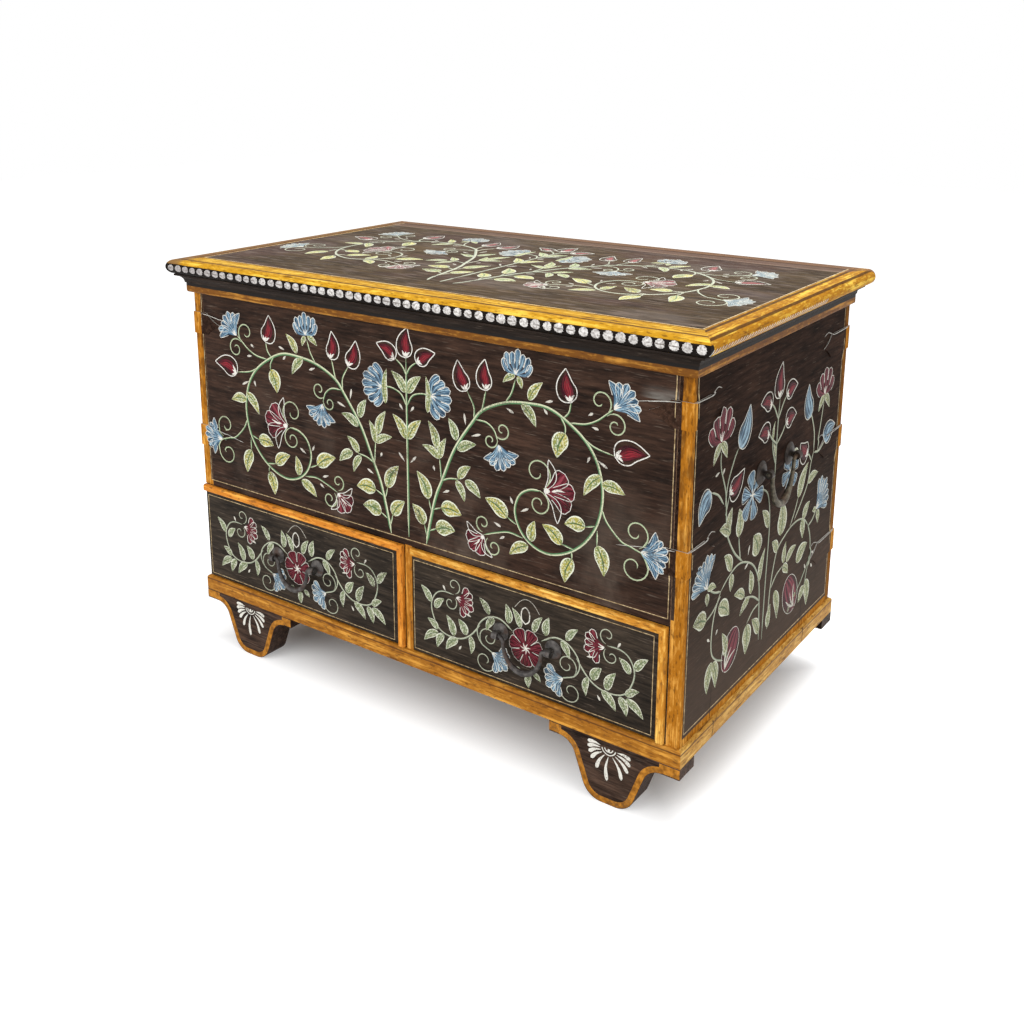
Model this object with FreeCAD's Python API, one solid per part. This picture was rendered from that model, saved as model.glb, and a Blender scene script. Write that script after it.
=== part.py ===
import FreeCAD, Part
import math
import os

# A painted lift-lid chest with two drawers below, in millimetres.
# X runs along the front, the front looks towards -Y, +Z is up.
# The origin is on the floor, under the middle of the lid.
# Left and right are as seen from the front.

# Carcass
CARCASS_WIDTH = 1000.0
CARCASS_DEPTH = 600.0
CARCASS_HEIGHT = 574.0        # from the base frame to the rim
BOARD = 22.0                  # thickness of the front, ends and back
TONGUE_LENGTH = 8.0           # how far boards are let into each other
TONGUE_THICKNESS = 8.0
BACK_LOWER_HEIGHT = 290.0     # the back is two boards, one above the other
CHEST_FLOOR = 12.0
CHEST_FLOOR_LIP = 10.0        # front panel left below the chest floor

# Base frame and feet
BASE_RAIL_HEIGHT = 28.0
BASE_RAIL_DEPTH = 46.0
BASE_RAIL_ROUND = 5.0
BASE_PROUD = 6.0              # base frame beyond the carcass
BOTTOM_BOARD = 16.0
BOTTOM_LEDGE = 20.0           # width of the rebate that holds the bottom board
FOOT_HEIGHT = 105.0
FOOT_FLAT = 24.0              # flat that stands on the floor
FOOT_TAB = 18.0               # depth of the foot's shoulders
FOOT_OUTER_SHOULDER = 29.0
FOOT_INNER_SHOULDER = 18.0
FOOT_FLANK_ANGLE = 70.0
FOOT_LOBE_RADIUS = 34.0
FOOT_HOLLOW_RADIUS = 30.0

# Band under the rim
BAND_HEIGHT = 18.0
BAND_PROUD = 9.0
BAND_ROUND = 4.0

# Lid
LID_BOARD = 26.0
LID_FRONT_OVERHANG = 32.0
LID_SIDE_OVERHANG = 36.0
LID_BACK_OVERHANG = 14.0
LID_REAR_BOARD = 300.0        # depth of the rear board
LID_TONGUE = 8.0
LID_MOULDING_HEIGHT = 16.0
LID_MOULDING_PROUD = 24.0     # moulding's top beyond the carcass
LID_COVE_RADIUS = 13.0
LID_BACK_RAIL = 40.0
LID_BATTEN_WIDTH = 50.0
LID_BATTEN = 12.0
LID_BATTEN_SPACING = 480.0

# Drawers
DRAWER_OPENING = 188.0        # height between base frame and front panel
DIVIDER = 14.0
DIVIDER_OFFSET = -2.0         # divider's middle from the carcass middle
DRAWER_FRONT = 20.0
DRAWER_REVEAL = 1.5           # gap round a drawer front
DRAWER_SIDE = 12.0
DRAWER_SIDE_HEIGHT = 160.0
DRAWER_BOTTOM = 8.0
DRAWER_BOTTOM_RISE = 8.0      # bottom above the sides' lower edge
DRAWER_GROOVE = 6.0
DRAWER_LAP = 8.0              # sides let into the front
DRAWER_PLAY = 2.0             # sideways clearance of the box
DRAWER_SLIP = 0.3             # clearance over the runner and before the stop
RUNNER_HEIGHT = 5.0
RUNNER_WIDTH = 20.0
STOP_DEPTH = 20.0
STOP_WIDTH = 30.0
STOP_HEIGHT = 25.0
STOP_INSET = 60.0             # stop's middle from the drawer's side
BEAD_WIDTH = 13.0
BEAD_PROUD = 7.0
BEAD_ROUND = 3.0

# Drawer pulls and end handles
PULL_SPAN = 98.0
PULL_HEIGHT = 90.0            # pivot above the base frame
PULL_DROP = 50.0
PULL_ROSETTE = 15.0
PULL_MIDDLE = 5.0             # bail's radius at its middle
HANDLE_SPAN = 112.0
HANDLE_HEIGHT = 350.0         # pivot above the base frame
HANDLE_DROP = 64.0
HANDLE_ROSETTE = 19.0
HANDLE_MIDDLE = 6.5
ROSETTE_RIM = 1.5
ROSETTE_SHOULDER = 4.5        # height where the dome turns flatter
ROSETTE_SHOULDER_INSET = 5.0
ROSETTE_DOME = 6.5
POST_RADIUS = 4.5
POST_STANDOFF = 14.5          # pivot before the face
EYE_RADIUS = 7.0
EYE_WIDTH = 10.0
SHANK = 5.0                   # square spike through the wood
ROVE = 1.5                    # square plate that the spike is riveted over
ROVE_WIDTH = 16.0
PIVOT_RADIUS = 3.2
PIVOT_FIT = 0.3
PIVOT_PROUD = 1.5
PIVOT_GAP = 0.4               # between an eye and the bail's elbow
BAIL_BEND = 8.0
BAIL_FACETS = 10              # hammered flats round the bail
BAIL_STEPS = 12               # hammered flats along its bow
BAIL_ELBOW_STEPS = 3

# Hinges
HINGE_SPACING = 620.0
HINGE_WIDTH = 56.0
HINGE_MIDDLE_KNUCKLE = 20.0
HINGE_PLATE = 2.5
HINGE_KNUCKLE = 6.0
HINGE_PIN = 3.0
HINGE_PIN_HEAD = 4.5
HINGE_PIN_HEAD_HEIGHT = 2.0
HINGE_FIT = 0.08
HINGE_GAP = 0.4
HINGE_LOWER_LEAF = 75.0
HINGE_UPPER_LEAF = 34.0

# Iron corner straps
STRAP = 2.0
STRAP_HEIGHT = 40.0
STRAP_TIP = 34.0
STRAP_NECK = 20.0             # from the point back to where the hollows are deepest
STRAP_NECK_HEIGHT = 18.0
STRAP_FACE_ARM = 68.0         # on the front or back
STRAP_FRONT_END_ARM = 88.0    # on the ends, from the front corners
STRAP_BACK_END_ARM = 118.0    # on the ends, from the back corners
FRONT_STRAP_TOPS = (305.0, 520.0)
BACK_STRAP_TOPS = (138.0, 336.0, 516.0)

# Planes that the pieces share
HALF_WIDTH = CARCASS_WIDTH / 2
INSIDE = HALF_WIDTH - BOARD
FRONT = LID_FRONT_OVERHANG - (CARCASS_DEPTH + LID_FRONT_OVERHANG + LID_BACK_OVERHANG) / 2
BACK = FRONT + CARCASS_DEPTH
MIDDLE = (FRONT + BACK) / 2
BASE_TOP = FOOT_HEIGHT + BASE_RAIL_HEIGHT
RIM = BASE_TOP + CARCASS_HEIGHT
LID_UNDERSIDE = RIM + LID_MOULDING_HEIGHT
LID_TOP = LID_UNDERSIDE + LID_BOARD
LID_SPLIT = BACK + LID_BACK_OVERHANG - LID_REAR_BOARD
PANEL_FOOT = BASE_TOP + DRAWER_OPENING
CHEST_FLOOR_UNDERSIDE = PANEL_FOOT + CHEST_FLOOR_LIP
CHEST_FLOOR_TOP = CHEST_FLOOR_UNDERSIDE + CHEST_FLOOR
BACK_INNER = BACK - BOARD
DIVIDER_LEFT = DIVIDER_OFFSET - DIVIDER / 2
DIVIDER_RIGHT = DIVIDER_OFFSET + DIVIDER / 2
HINGE_Y = BACK + HINGE_KNUCKLE
HINGE_Z = RIM + HINGE_PLATE - HINGE_KNUCKLE

ALONG_X = FreeCAD.Vector(1, 0, 0)
ALONG_Y = FreeCAD.Vector(0, 1, 0)
ALONG_Z = FreeCAD.Vector(0, 0, 1)
ORIGIN = FreeCAD.Vector(0, 0, 0)
SAME_POINT = 1e-6


def point(x, y, z):
    return FreeCAD.Vector(x, y, z)


def box(x, y, z):
    """A block between two values on each axis."""
    return Part.makeBox(x[1] - x[0], y[1] - y[0], z[1] - z[0], point(x[0], y[0], z[0]))


def rod(radius, start, end):
    """A round bar from one point to another."""
    along = end - start
    return Part.makeCylinder(radius, along.Length, start, along)


def outline(start, steps, place):
    """A closed flat face; a step is a straight run's end, or an arc's middle and end."""
    edges = []
    first = place(*start)
    here = first
    for step in steps:
        if isinstance(step[0], tuple):
            middle = place(*step[0])
            there = place(*step[1])
            edges.append(Part.Arc(here, middle, there).toShape())
        else:
            there = place(*step)
            edges.append(Part.makeLine(here, there))
        here = there
    if here.distanceToPoint(first) > SAME_POINT:
        edges.append(Part.makeLine(here, first))
    return Part.Face(Part.Wire(edges))


def quarter(centre, radius, degrees):
    """The point of a circle at an angle."""
    angle = math.radians(degrees)
    return (centre[0] + radius * math.cos(angle), centre[1] + radius * math.sin(angle))


def save(name, *solids):
    shape = solids[0] if len(solids) == 1 else Part.makeCompound(solids)
    shape.exportStep("parts/" + name + ".step")


# Rails that run round the carcass, mitred where two of them meet.
# They are drawn along X with the carcass face at Y 0 and the outside at -Y.

def rail(start, steps, length, mitre_start, mitre_end, proud, depth):
    """A profile of (inward, height) carried along one side of the carcass."""
    face = outline(start, steps, lambda inward, height: point(0, inward, height))
    from_x = -length / 2 - (proud if mitre_start else 0)
    to_x = length / 2 + (proud if mitre_end else 0)
    face.translate(point(from_x, 0, 0))
    solid = face.extrude(ALONG_X * (to_x - from_x))
    reach = proud + depth
    for end, mitred in ((-1, mitre_start), (1, mitre_end)):
        if mitred:
            corner = end * length / 2
            wedge = outline(
                (corner + end * reach, -reach),
                [(corner - end * reach, reach), (corner + end * reach, reach)],
                lambda x, y: point(x, y, 0),
            )
            solid = solid.cut(wedge.extrude(ALONG_Z * LID_TOP))
    return solid


def on_side(solid, side):
    """Turn and move a piece drawn for the front to one side of the carcass."""
    turn, x, y = {
        "front": (0, 0, FRONT),
        "right": (90, HALF_WIDTH, MIDDLE),
        "back": (180, 0, BACK),
        "left": (-90, -HALF_WIDTH, MIDDLE),
    }[side]
    solid.rotate(ORIGIN, ALONG_Z, turn)
    solid.translate(point(x, y, 0))
    return solid


def base_rail(side):
    """A rail of the base frame, with a ledge for the bottom board."""
    length = CARCASS_WIDTH if side in ("front", "back") else CARCASS_DEPTH
    inner = BASE_RAIL_DEPTH - BASE_PROUD
    ledge = inner - BOTTOM_LEDGE
    ledge_top = BASE_TOP - BOTTOM_BOARD
    centre = (BASE_RAIL_ROUND - BASE_PROUD, BASE_TOP - BASE_RAIL_ROUND)
    steps = [
        (-BASE_PROUD, BASE_TOP - BASE_RAIL_ROUND),
        (quarter(centre, BASE_RAIL_ROUND, 135), (BASE_RAIL_ROUND - BASE_PROUD, BASE_TOP)),
        (ledge, BASE_TOP),
        (ledge, ledge_top),
        (inner, ledge_top),
        (inner, FOOT_HEIGHT),
    ]
    return on_side(rail((-BASE_PROUD, FOOT_HEIGHT), steps, length, True, True, BASE_PROUD, inner), side)


def top_band(side):
    """A band under the rim, with its lower edge rounded."""
    length = CARCASS_WIDTH if side == "front" else CARCASS_DEPTH
    low = RIM - BAND_HEIGHT
    centre = (BAND_ROUND - BAND_PROUD, low + BAND_ROUND)
    steps = [
        (BAND_ROUND - BAND_PROUD, low),
        (quarter(centre, BAND_ROUND, 225), (-BAND_PROUD, low + BAND_ROUND)),
        (-BAND_PROUD, RIM),
        (0, RIM),
    ]
    mitre_start = side != "left"
    mitre_end = side != "right"
    return on_side(rail((0, low), steps, length, mitre_start, mitre_end, BAND_PROUD, BAND_PROUD), side)


def lid_moulding(side):
    """A rail under the lid's edge, hollowed by a cove on its outside."""
    length = CARCASS_WIDTH if side == "front" else CARCASS_DEPTH
    foot = LID_COVE_RADIUS - LID_MOULDING_PROUD
    centre = (-LID_MOULDING_PROUD, RIM)
    shoulder = RIM + LID_COVE_RADIUS
    steps = [
        (quarter(centre, LID_COVE_RADIUS, 45), (-LID_MOULDING_PROUD, shoulder)),
        (-LID_MOULDING_PROUD, LID_UNDERSIDE),
        (BOARD, LID_UNDERSIDE),
        (BOARD, RIM),
    ]
    mitre_start = side != "left"
    mitre_end = side != "right"
    moulding = rail((foot, RIM), steps, length, mitre_start, mitre_end, LID_MOULDING_PROUD, BOARD)
    return on_side(moulding, side)


# Feet

def foot():
    """A lobed foot board: a flat, two lobe arcs, straight flanks, two hollows and shoulders."""
    flank = math.radians(FOOT_FLANK_ANGLE)
    shoulder = FOOT_HEIGHT - FOOT_TAB
    lobe_rise = FOOT_LOBE_RADIUS * (1 - math.cos(flank))
    hollow_rise = FOOT_HOLLOW_RADIUS * (1 - math.cos(flank))
    flat = FOOT_FLAT / 2
    lobe_end = flat + FOOT_LOBE_RADIUS * math.sin(flank)
    flank_end = lobe_end + (shoulder - lobe_rise - hollow_rise) / math.tan(flank)
    hollow_end = flank_end + FOOT_HOLLOW_RADIUS * math.sin(flank)
    lobe_middle = quarter((flat, FOOT_LOBE_RADIUS), FOOT_LOBE_RADIUS, FOOT_FLANK_ANGLE / 2 - 90)
    hollow_centre = (hollow_end, shoulder - FOOT_HOLLOW_RADIUS)
    hollow_middle = quarter(hollow_centre, FOOT_HOLLOW_RADIUS, 90 + FOOT_FLANK_ANGLE / 2)
    outer = hollow_end + FOOT_OUTER_SHOULDER
    inner = -hollow_end - FOOT_INNER_SHOULDER

    def mirrored(at):
        return (-at[0], at[1])

    steps = [
        (flat, 0),
        (lobe_middle, (lobe_end, lobe_rise)),
        (flank_end, shoulder - hollow_rise),
        (hollow_middle, (hollow_end, shoulder)),
        (outer, shoulder),
        (outer, FOOT_HEIGHT),
        (inner, FOOT_HEIGHT),
        (inner, shoulder),
        (-hollow_end, shoulder),
        (mirrored(hollow_middle), (-flank_end, shoulder - hollow_rise)),
        (-lobe_end, lobe_rise),
        (mirrored(lobe_middle), (-flat, 0)),
    ]
    face = outline((-flat, 0), steps, lambda x, z: point(x - outer, 0, z))
    return face.extrude(ALONG_Y * BASE_RAIL_DEPTH)


def foot_at(end, row):
    """A foot at the left (-1) or right (1) end of the front or back rail."""
    solid = foot()
    if end < 0:
        solid = solid.mirror(ORIGIN, ALONG_X)
    y = FRONT - BASE_PROUD if row == "front" else BACK + BASE_PROUD - BASE_RAIL_DEPTH
    solid.translate(point(end * (HALF_WIDTH + BASE_PROUD), y, 0))
    return solid


# Carcass boards

def tongued(x, y, z):
    """A board between the ends, with a tongue at each end."""
    solid = box(x, y, z)
    middle = (y[0] + y[1]) / 2
    tongue_y = (middle - TONGUE_THICKNESS / 2, middle + TONGUE_THICKNESS / 2)
    tongue = box((x[0] - TONGUE_LENGTH, x[1] + TONGUE_LENGTH), tongue_y, z)
    return solid.fuse(tongue).removeSplitter()


def chest_floor():
    """The floor of the upper chest, let into all four walls."""
    reach = BOARD - TONGUE_LENGTH
    return box(
        (reach - HALF_WIDTH, HALF_WIDTH - reach),
        (FRONT + reach, BACK - reach),
        (CHEST_FLOOR_UNDERSIDE, CHEST_FLOOR_TOP),
    )


def bottom_board():
    edge = BASE_RAIL_DEPTH - BASE_PROUD - BOTTOM_LEDGE
    return box(
        (edge - HALF_WIDTH, HALF_WIDTH - edge),
        (FRONT + edge, BACK - edge),
        (BASE_TOP - BOTTOM_BOARD, BASE_TOP),
    )


def end_panel(end, let_in, spike_holes):
    """An end board, housed for the boards let into it."""
    x = (INSIDE, HALF_WIDTH) if end > 0 else (-HALF_WIDTH, -INSIDE)
    solid = box(x, (FRONT, BACK), (BASE_TOP, RIM))
    if end < 0:
        # The left drawer front laps over this board's edge.
        lap = (FRONT, FRONT + DRAWER_FRONT + DRAWER_REVEAL)
        solid = solid.cut(box(x, lap, (BASE_TOP, PANEL_FOOT)))
    return solid.cut(let_in + spike_holes)


def divider():
    """The upright between the drawers, notched under the front panel."""
    solid = box((DIVIDER_LEFT, DIVIDER_RIGHT), (FRONT, BACK_INNER), (BASE_TOP, CHEST_FLOOR_UNDERSIDE))
    notch = box(
        (DIVIDER_LEFT, DIVIDER_RIGHT),
        (FRONT, FRONT + BOARD),
        (PANEL_FOOT, CHEST_FLOOR_UNDERSIDE),
    )
    return solid.cut(notch)


# Pulls and handles, drawn with the face at Y 0, the outside at -Y and the pivot along X

def pull_post(x, rosette, wall):
    """A domed rosette with a post and an eye, on a square spike riveted inside the wall."""
    steps = [
        (rosette, 0),
        (rosette, -ROSETTE_RIM),
        (rosette - ROSETTE_SHOULDER_INSET, -ROSETTE_SHOULDER),
        (POST_RADIUS, -ROSETTE_DOME),
        (POST_RADIUS, -POST_STANDOFF),
        (0, -POST_STANDOFF),
    ]
    solid = outline((0, 0), steps, lambda r, y: point(r, y, 0)).revolve(ORIGIN, ALONG_Y, 360)
    pivot = point(0, -POST_STANDOFF, 0)
    half = ALONG_X * (EYE_WIDTH / 2)
    rove = (-ROVE_WIDTH / 2, ROVE_WIDTH / 2)
    solid = solid.multiFuse([
        rod(EYE_RADIUS, pivot - half, pivot + half),
        spike(wall + 2 * ROVE),
        box(rove, (wall, wall + ROVE), rove),
    ])
    solid = solid.cut(rod(PIVOT_RADIUS + PIVOT_FIT, pivot - half, pivot + half)).removeSplitter()
    solid.translate(point(x, 0, 0))
    return solid


def spike(length):
    """The square spike behind a rosette, which is also the shape of its hole."""
    half = (-SHANK / 2, SHANK / 2)
    return box(half, (0, length), half)


def spike_hole(x, wall):
    hole = spike(wall)
    hole.translate(point(x, 0, 0))
    return hole


def bail(span, drop, middle_radius):
    """A forged bail: two pivots, two elbows and a half ellipse that swells to its middle."""
    half = span / 2
    end = half + EYE_WIDTH / 2 + PIVOT_PROUD
    elbow = half - EYE_WIDTH / 2 - PIVOT_GAP
    limb = elbow - BAIL_BEND
    bow = drop - BAIL_BEND
    left_half = [(-end, 0, 0, PIVOT_RADIUS)]
    for step in range(BAIL_ELBOW_STEPS):
        turn = 90 * step / BAIL_ELBOW_STEPS
        angle = math.radians(turn)
        x = BAIL_BEND * math.sin(angle) - elbow
        z = BAIL_BEND * (math.cos(angle) - 1)
        left_half.append((x, z, turn, PIVOT_RADIUS))
    bow_rings = []
    for step in range(BAIL_STEPS + 1):
        angle = math.pi * step / BAIL_STEPS
        x = -limb * math.cos(angle)
        z = -BAIL_BEND - bow * math.sin(angle)
        turn = math.degrees(math.atan2(bow * math.cos(angle), limb * math.sin(angle)))
        radius = PIVOT_RADIUS + (middle_radius - PIVOT_RADIUS) * math.sin(angle) ** 2
        bow_rings.append((x, z, turn, radius))
    right_half = [(-x, z, -turn, radius) for x, z, turn, radius in reversed(left_half)]
    solid = Part.makeLoft([bail_ring(*ring) for ring in left_half + bow_rings + right_half], True, True)
    solid.translate(point(0, -POST_STANDOFF, 0))
    return solid


def bail_ring(x, z, turn, radius):
    """A many-sided section across the bail, turned to face along it."""
    corners = []
    for step in range(BAIL_FACETS + 1):
        angle = 2 * math.pi * step / BAIL_FACETS
        corners.append(point(0, radius * math.cos(angle), radius * math.sin(angle)))
    ring = Part.makePolygon(corners)
    ring.rotate(ORIGIN, ALONG_Y, turn)
    ring.translate(point(x, 0, z))
    return ring


def raised(solid, height):
    solid.translate(point(0, 0, height))
    return solid


def on_front(solid, x, height):
    solid.translate(point(x, FRONT, height))
    return solid


# Drawers

def drawer(name, front_x, box_x, bottom_z):
    """A drawer: lapped front with a raised bead, sides, back, bottom and pull."""
    front_z = (BASE_TOP + DRAWER_REVEAL, PANEL_FOOT - DRAWER_REVEAL)
    back_end = BACK_INNER - STOP_DEPTH - DRAWER_SLIP
    lap = FRONT + DRAWER_FRONT - DRAWER_LAP
    inner_x = (box_x[0] + DRAWER_SIDE, box_x[1] - DRAWER_SIDE)
    side_z = (bottom_z, bottom_z + DRAWER_SIDE_HEIGHT)
    panel_z = (bottom_z + DRAWER_BOTTOM_RISE, bottom_z + DRAWER_BOTTOM_RISE + DRAWER_BOTTOM)
    bottom = box(
        (inner_x[0] - DRAWER_GROOVE, inner_x[1] + DRAWER_GROOVE),
        (FRONT + DRAWER_FRONT - DRAWER_GROOVE, back_end),
        panel_z,
    )
    left = box((box_x[0], inner_x[0]), (lap, back_end), side_z).cut(bottom)
    right = box((inner_x[1], box_x[1]), (lap, back_end), side_z).cut(bottom)
    back = box(inner_x, (back_end - DRAWER_SIDE, back_end), (panel_z[1], side_z[1]))
    pull_x = (front_x[0] + front_x[1] - BEAD_WIDTH) / 2
    pull_z = BASE_TOP + PULL_HEIGHT
    front = box(front_x, (FRONT, FRONT + DRAWER_FRONT), front_z)
    let_in = [left, right, bottom]
    posts = []
    for side in (-1, 1):
        x = side * PULL_SPAN / 2
        posts.append(on_front(pull_post(x, PULL_ROSETTE, DRAWER_FRONT), pull_x, pull_z))
        let_in.append(on_front(spike_hole(x, DRAWER_FRONT), pull_x, pull_z))
    top_bead, end_bead = beads(front_x, front_z)
    save(name + "_drawer_front", front.cut(let_in))
    save(name + "_drawer_top_bead", top_bead)
    save(name + "_drawer_end_bead", end_bead)
    save(name + "_drawer_left_side", left)
    save(name + "_drawer_right_side", right)
    save(name + "_drawer_back", back)
    save(name + "_drawer_bottom", bottom)
    save(name + "_drawer_pull_posts", *posts)
    save(name + "_drawer_bail", on_front(bail(PULL_SPAN, PULL_DROP, PULL_MIDDLE), pull_x, pull_z))


def bead_profile(place):
    """A bar's section: flat against the drawer front, round at its two outer corners."""
    shoulder = BEAD_PROUD - BEAD_ROUND
    near = (BEAD_ROUND, shoulder)
    far = (BEAD_WIDTH - BEAD_ROUND, shoulder)
    steps = [
        (0, shoulder),
        (quarter(near, BEAD_ROUND, 135), (BEAD_ROUND, BEAD_PROUD)),
        (BEAD_WIDTH - BEAD_ROUND, BEAD_PROUD),
        (quarter(far, BEAD_ROUND, 45), (BEAD_WIDTH, shoulder)),
        (BEAD_WIDTH, 0),
    ]
    return outline((0, 0), steps, place)


def beads(front_x, front_z):
    """The raised bead along a drawer front's top and right edges, mitred at the corner."""
    right = front_x[1]
    top = front_z[1]
    over = bead_profile(lambda a, out: point(front_x[0], FRONT - out, top - a))
    over = over.extrude(ALONG_X * (right - front_x[0]))
    down = bead_profile(lambda a, out: point(right - a, FRONT - out, front_z[0]))
    down = down.extrude(ALONG_Z * (top - front_z[0]))
    corner = [(right - BEAD_WIDTH, top - BEAD_WIDTH)]
    below = outline((right, top), corner + [(right, top - BEAD_WIDTH)], lambda x, z: point(x, FRONT, z))
    above = outline((right, top), corner + [(right - BEAD_WIDTH, top)], lambda x, z: point(x, FRONT, z))
    outward = ALONG_Y * -BEAD_PROUD
    return over.cut(below.extrude(outward)), down.cut(above.extrude(outward))


# Lid

def lid_plate():
    """The lid's top with a half-round nose on the front and both ends, mitred at the corners."""
    nose = LID_BOARD / 2
    level = LID_UNDERSIDE + nose
    front = FRONT - LID_FRONT_OVERHANG
    back = BACK + LID_BACK_OVERHANG
    end = HALF_WIDTH + LID_SIDE_OVERHANG
    across = outline(
        (front + nose, LID_TOP),
        [((front, level), (front + nose, LID_UNDERSIDE)), (back, LID_UNDERSIDE), (back, LID_TOP)],
        lambda y, z: point(-end, y, z),
    )
    along = outline(
        (nose - end, LID_TOP),
        [
            ((-end, level), (nose - end, LID_UNDERSIDE)),
            (end - nose, LID_UNDERSIDE),
            ((end, level), (end - nose, LID_TOP)),
        ],
        lambda x, z: point(x, front, z),
    )
    return across.extrude(ALONG_X * (2 * end)).common(along.extrude(ALONG_Y * (back - front)))


def lid_boards():
    """The plate as two boards, the rear one tongued into the front one."""
    plate = lid_plate()
    end = HALF_WIDTH + LID_SIDE_OVERHANG
    level = LID_UNDERSIDE + LID_BOARD / 2
    rear = box((-end, end), (LID_SPLIT, BACK + LID_BACK_OVERHANG), (LID_UNDERSIDE, LID_TOP))
    tongue = box(
        (-INSIDE, INSIDE),
        (LID_SPLIT - LID_TONGUE, LID_SPLIT),
        (level - LID_TONGUE / 2, level + LID_TONGUE / 2),
    )
    rear = rear.fuse(tongue)
    return plate.cut(rear), plate.common(rear).removeSplitter()


def hinge_leaves(x):
    """A butt hinge: lower leaf with two knuckles, upper leaf with the middle one, and the pin."""
    half = HINGE_WIDTH / 2
    middle = HINGE_MIDDLE_KNUCKLE / 2
    axis = point(x, HINGE_Y, HINGE_Z)

    def barrel(radius, start, end):
        return rod(radius, axis + ALONG_X * start, axis + ALONG_X * end)

    clear = HINGE_KNUCKLE + HINGE_GAP
    room = box(
        (x - middle - HINGE_GAP, x + middle + HINGE_GAP),
        (BACK, HINGE_Y + clear),
        (HINGE_Z - clear, HINGE_Z + clear),
    )
    lower = box((x - half, x + half), (BACK, BACK + HINGE_PLATE), (HINGE_Z - HINGE_LOWER_LEAF, HINGE_Z))
    outer_knuckles = [
        barrel(HINGE_KNUCKLE, -half, -middle - HINGE_GAP),
        barrel(HINGE_KNUCKLE, middle + HINGE_GAP, half),
    ]
    lower = lower.cut(room).multiFuse(outer_knuckles)
    lower = lower.cut(barrel(HINGE_PIN, -half, half)).removeSplitter()
    leaf_z = (RIM, RIM + HINGE_PLATE)
    upper = box((x - half, x + half), (BACK - HINGE_UPPER_LEAF, BACK - HINGE_GAP), leaf_z)
    neck = box((x - middle, x + middle), (BACK - HINGE_GAP, HINGE_Y), leaf_z)
    upper = upper.multiFuse([neck, barrel(HINGE_KNUCKLE, -middle, middle)])
    upper = upper.cut(barrel(HINGE_PIN + HINGE_FIT, -half, half)).removeSplitter()
    pin = barrel(HINGE_PIN, -half, half)
    heads = [
        barrel(HINGE_PIN_HEAD, -half - HINGE_PIN_HEAD_HEIGHT, -half),
        barrel(HINGE_PIN_HEAD, half, half + HINGE_PIN_HEAD_HEIGHT),
    ]
    return lower, upper, pin.multiFuse(heads).removeSplitter()


# Straps

def strap_arm(length, place, normal):
    """A strap's arm from the corner: a band that narrows in two hollows to a point."""
    half = STRAP_HEIGHT / 2
    neck = length - STRAP_TIP
    hollow = length - STRAP_NECK
    hollow_half = STRAP_NECK_HEIGHT / 2
    steps = [
        (neck, -half),
        ((hollow, -hollow_half), (length, 0)),
        ((hollow, hollow_half), (neck, half)),
        (0, half),
    ]
    return outline((0, -half), steps, place).extrude(normal * STRAP)


def strap(end, row, top, end_arm):
    """A strap bent round one upright corner of the carcass."""
    face = FRONT if row == "front" else BACK
    outward = -1 if row == "front" else 1
    corner_x = end * (HALF_WIDTH + STRAP)
    corner_y = face + outward * STRAP
    level = BASE_TOP + top - STRAP_HEIGHT / 2
    on_face = strap_arm(
        STRAP_FACE_ARM,
        lambda a, h: point(corner_x - end * a, face, level + h),
        ALONG_Y * outward,
    )
    on_end = strap_arm(
        end_arm,
        lambda a, h: point(end * HALF_WIDTH, corner_y - outward * a, level + h),
        ALONG_X * end,
    )
    return on_face.fuse(on_end).removeSplitter()


def build_carcass():
    front_panel = tongued((-INSIDE, INSIDE), (FRONT, FRONT + BOARD), (PANEL_FOOT, RIM))
    seam = BASE_TOP + BACK_LOWER_HEIGHT
    back_lower = tongued((-INSIDE, INSIDE), (BACK_INNER, BACK), (BASE_TOP, seam))
    back_upper = tongued((-INSIDE, INSIDE), (BACK_INNER, BACK), (seam, RIM))
    floor = chest_floor()
    let_in = [front_panel, back_lower, back_upper, floor]
    save("front_panel", front_panel.cut(floor))
    save("back_lower_board", back_lower.cut(floor))
    save("back_upper_board", back_upper.cut(floor))
    save("chest_floor", floor)
    save("bottom_board", bottom_board())
    save("drawer_divider", divider())
    level = BASE_TOP + HANDLE_HEIGHT
    for side, end in (("left", -1), ("right", 1)):
        posts = []
        holes = []
        for where in (-1, 1):
            x = where * HANDLE_SPAN / 2
            posts.append(on_side(raised(pull_post(x, HANDLE_ROSETTE, BOARD), level), side))
            holes.append(on_side(raised(spike_hole(x, BOARD), level), side))
        handle = raised(bail(HANDLE_SPAN, HANDLE_DROP, HANDLE_MIDDLE), level)
        save(side + "_end_panel", end_panel(end, let_in, holes))
        save(side + "_handle_posts", *posts)
        save(side + "_handle_bail", on_side(handle, side))
        for row in ("front", "back"):
            save("foot_" + row + "_" + side, foot_at(end, row))
    for side in ("front", "left", "right", "back"):
        save("base_rail_" + side, base_rail(side))
    for side in ("front", "left", "right"):
        save("top_band_" + side, top_band(side))


def build_straps():
    for row, tops, end_arm in (
        ("front", FRONT_STRAP_TOPS, STRAP_FRONT_END_ARM),
        ("back", BACK_STRAP_TOPS, STRAP_BACK_END_ARM),
    ):
        solids = [strap(end, row, top, end_arm) for end in (-1, 1) for top in tops]
        save(row + "_corner_straps", *solids)


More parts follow.
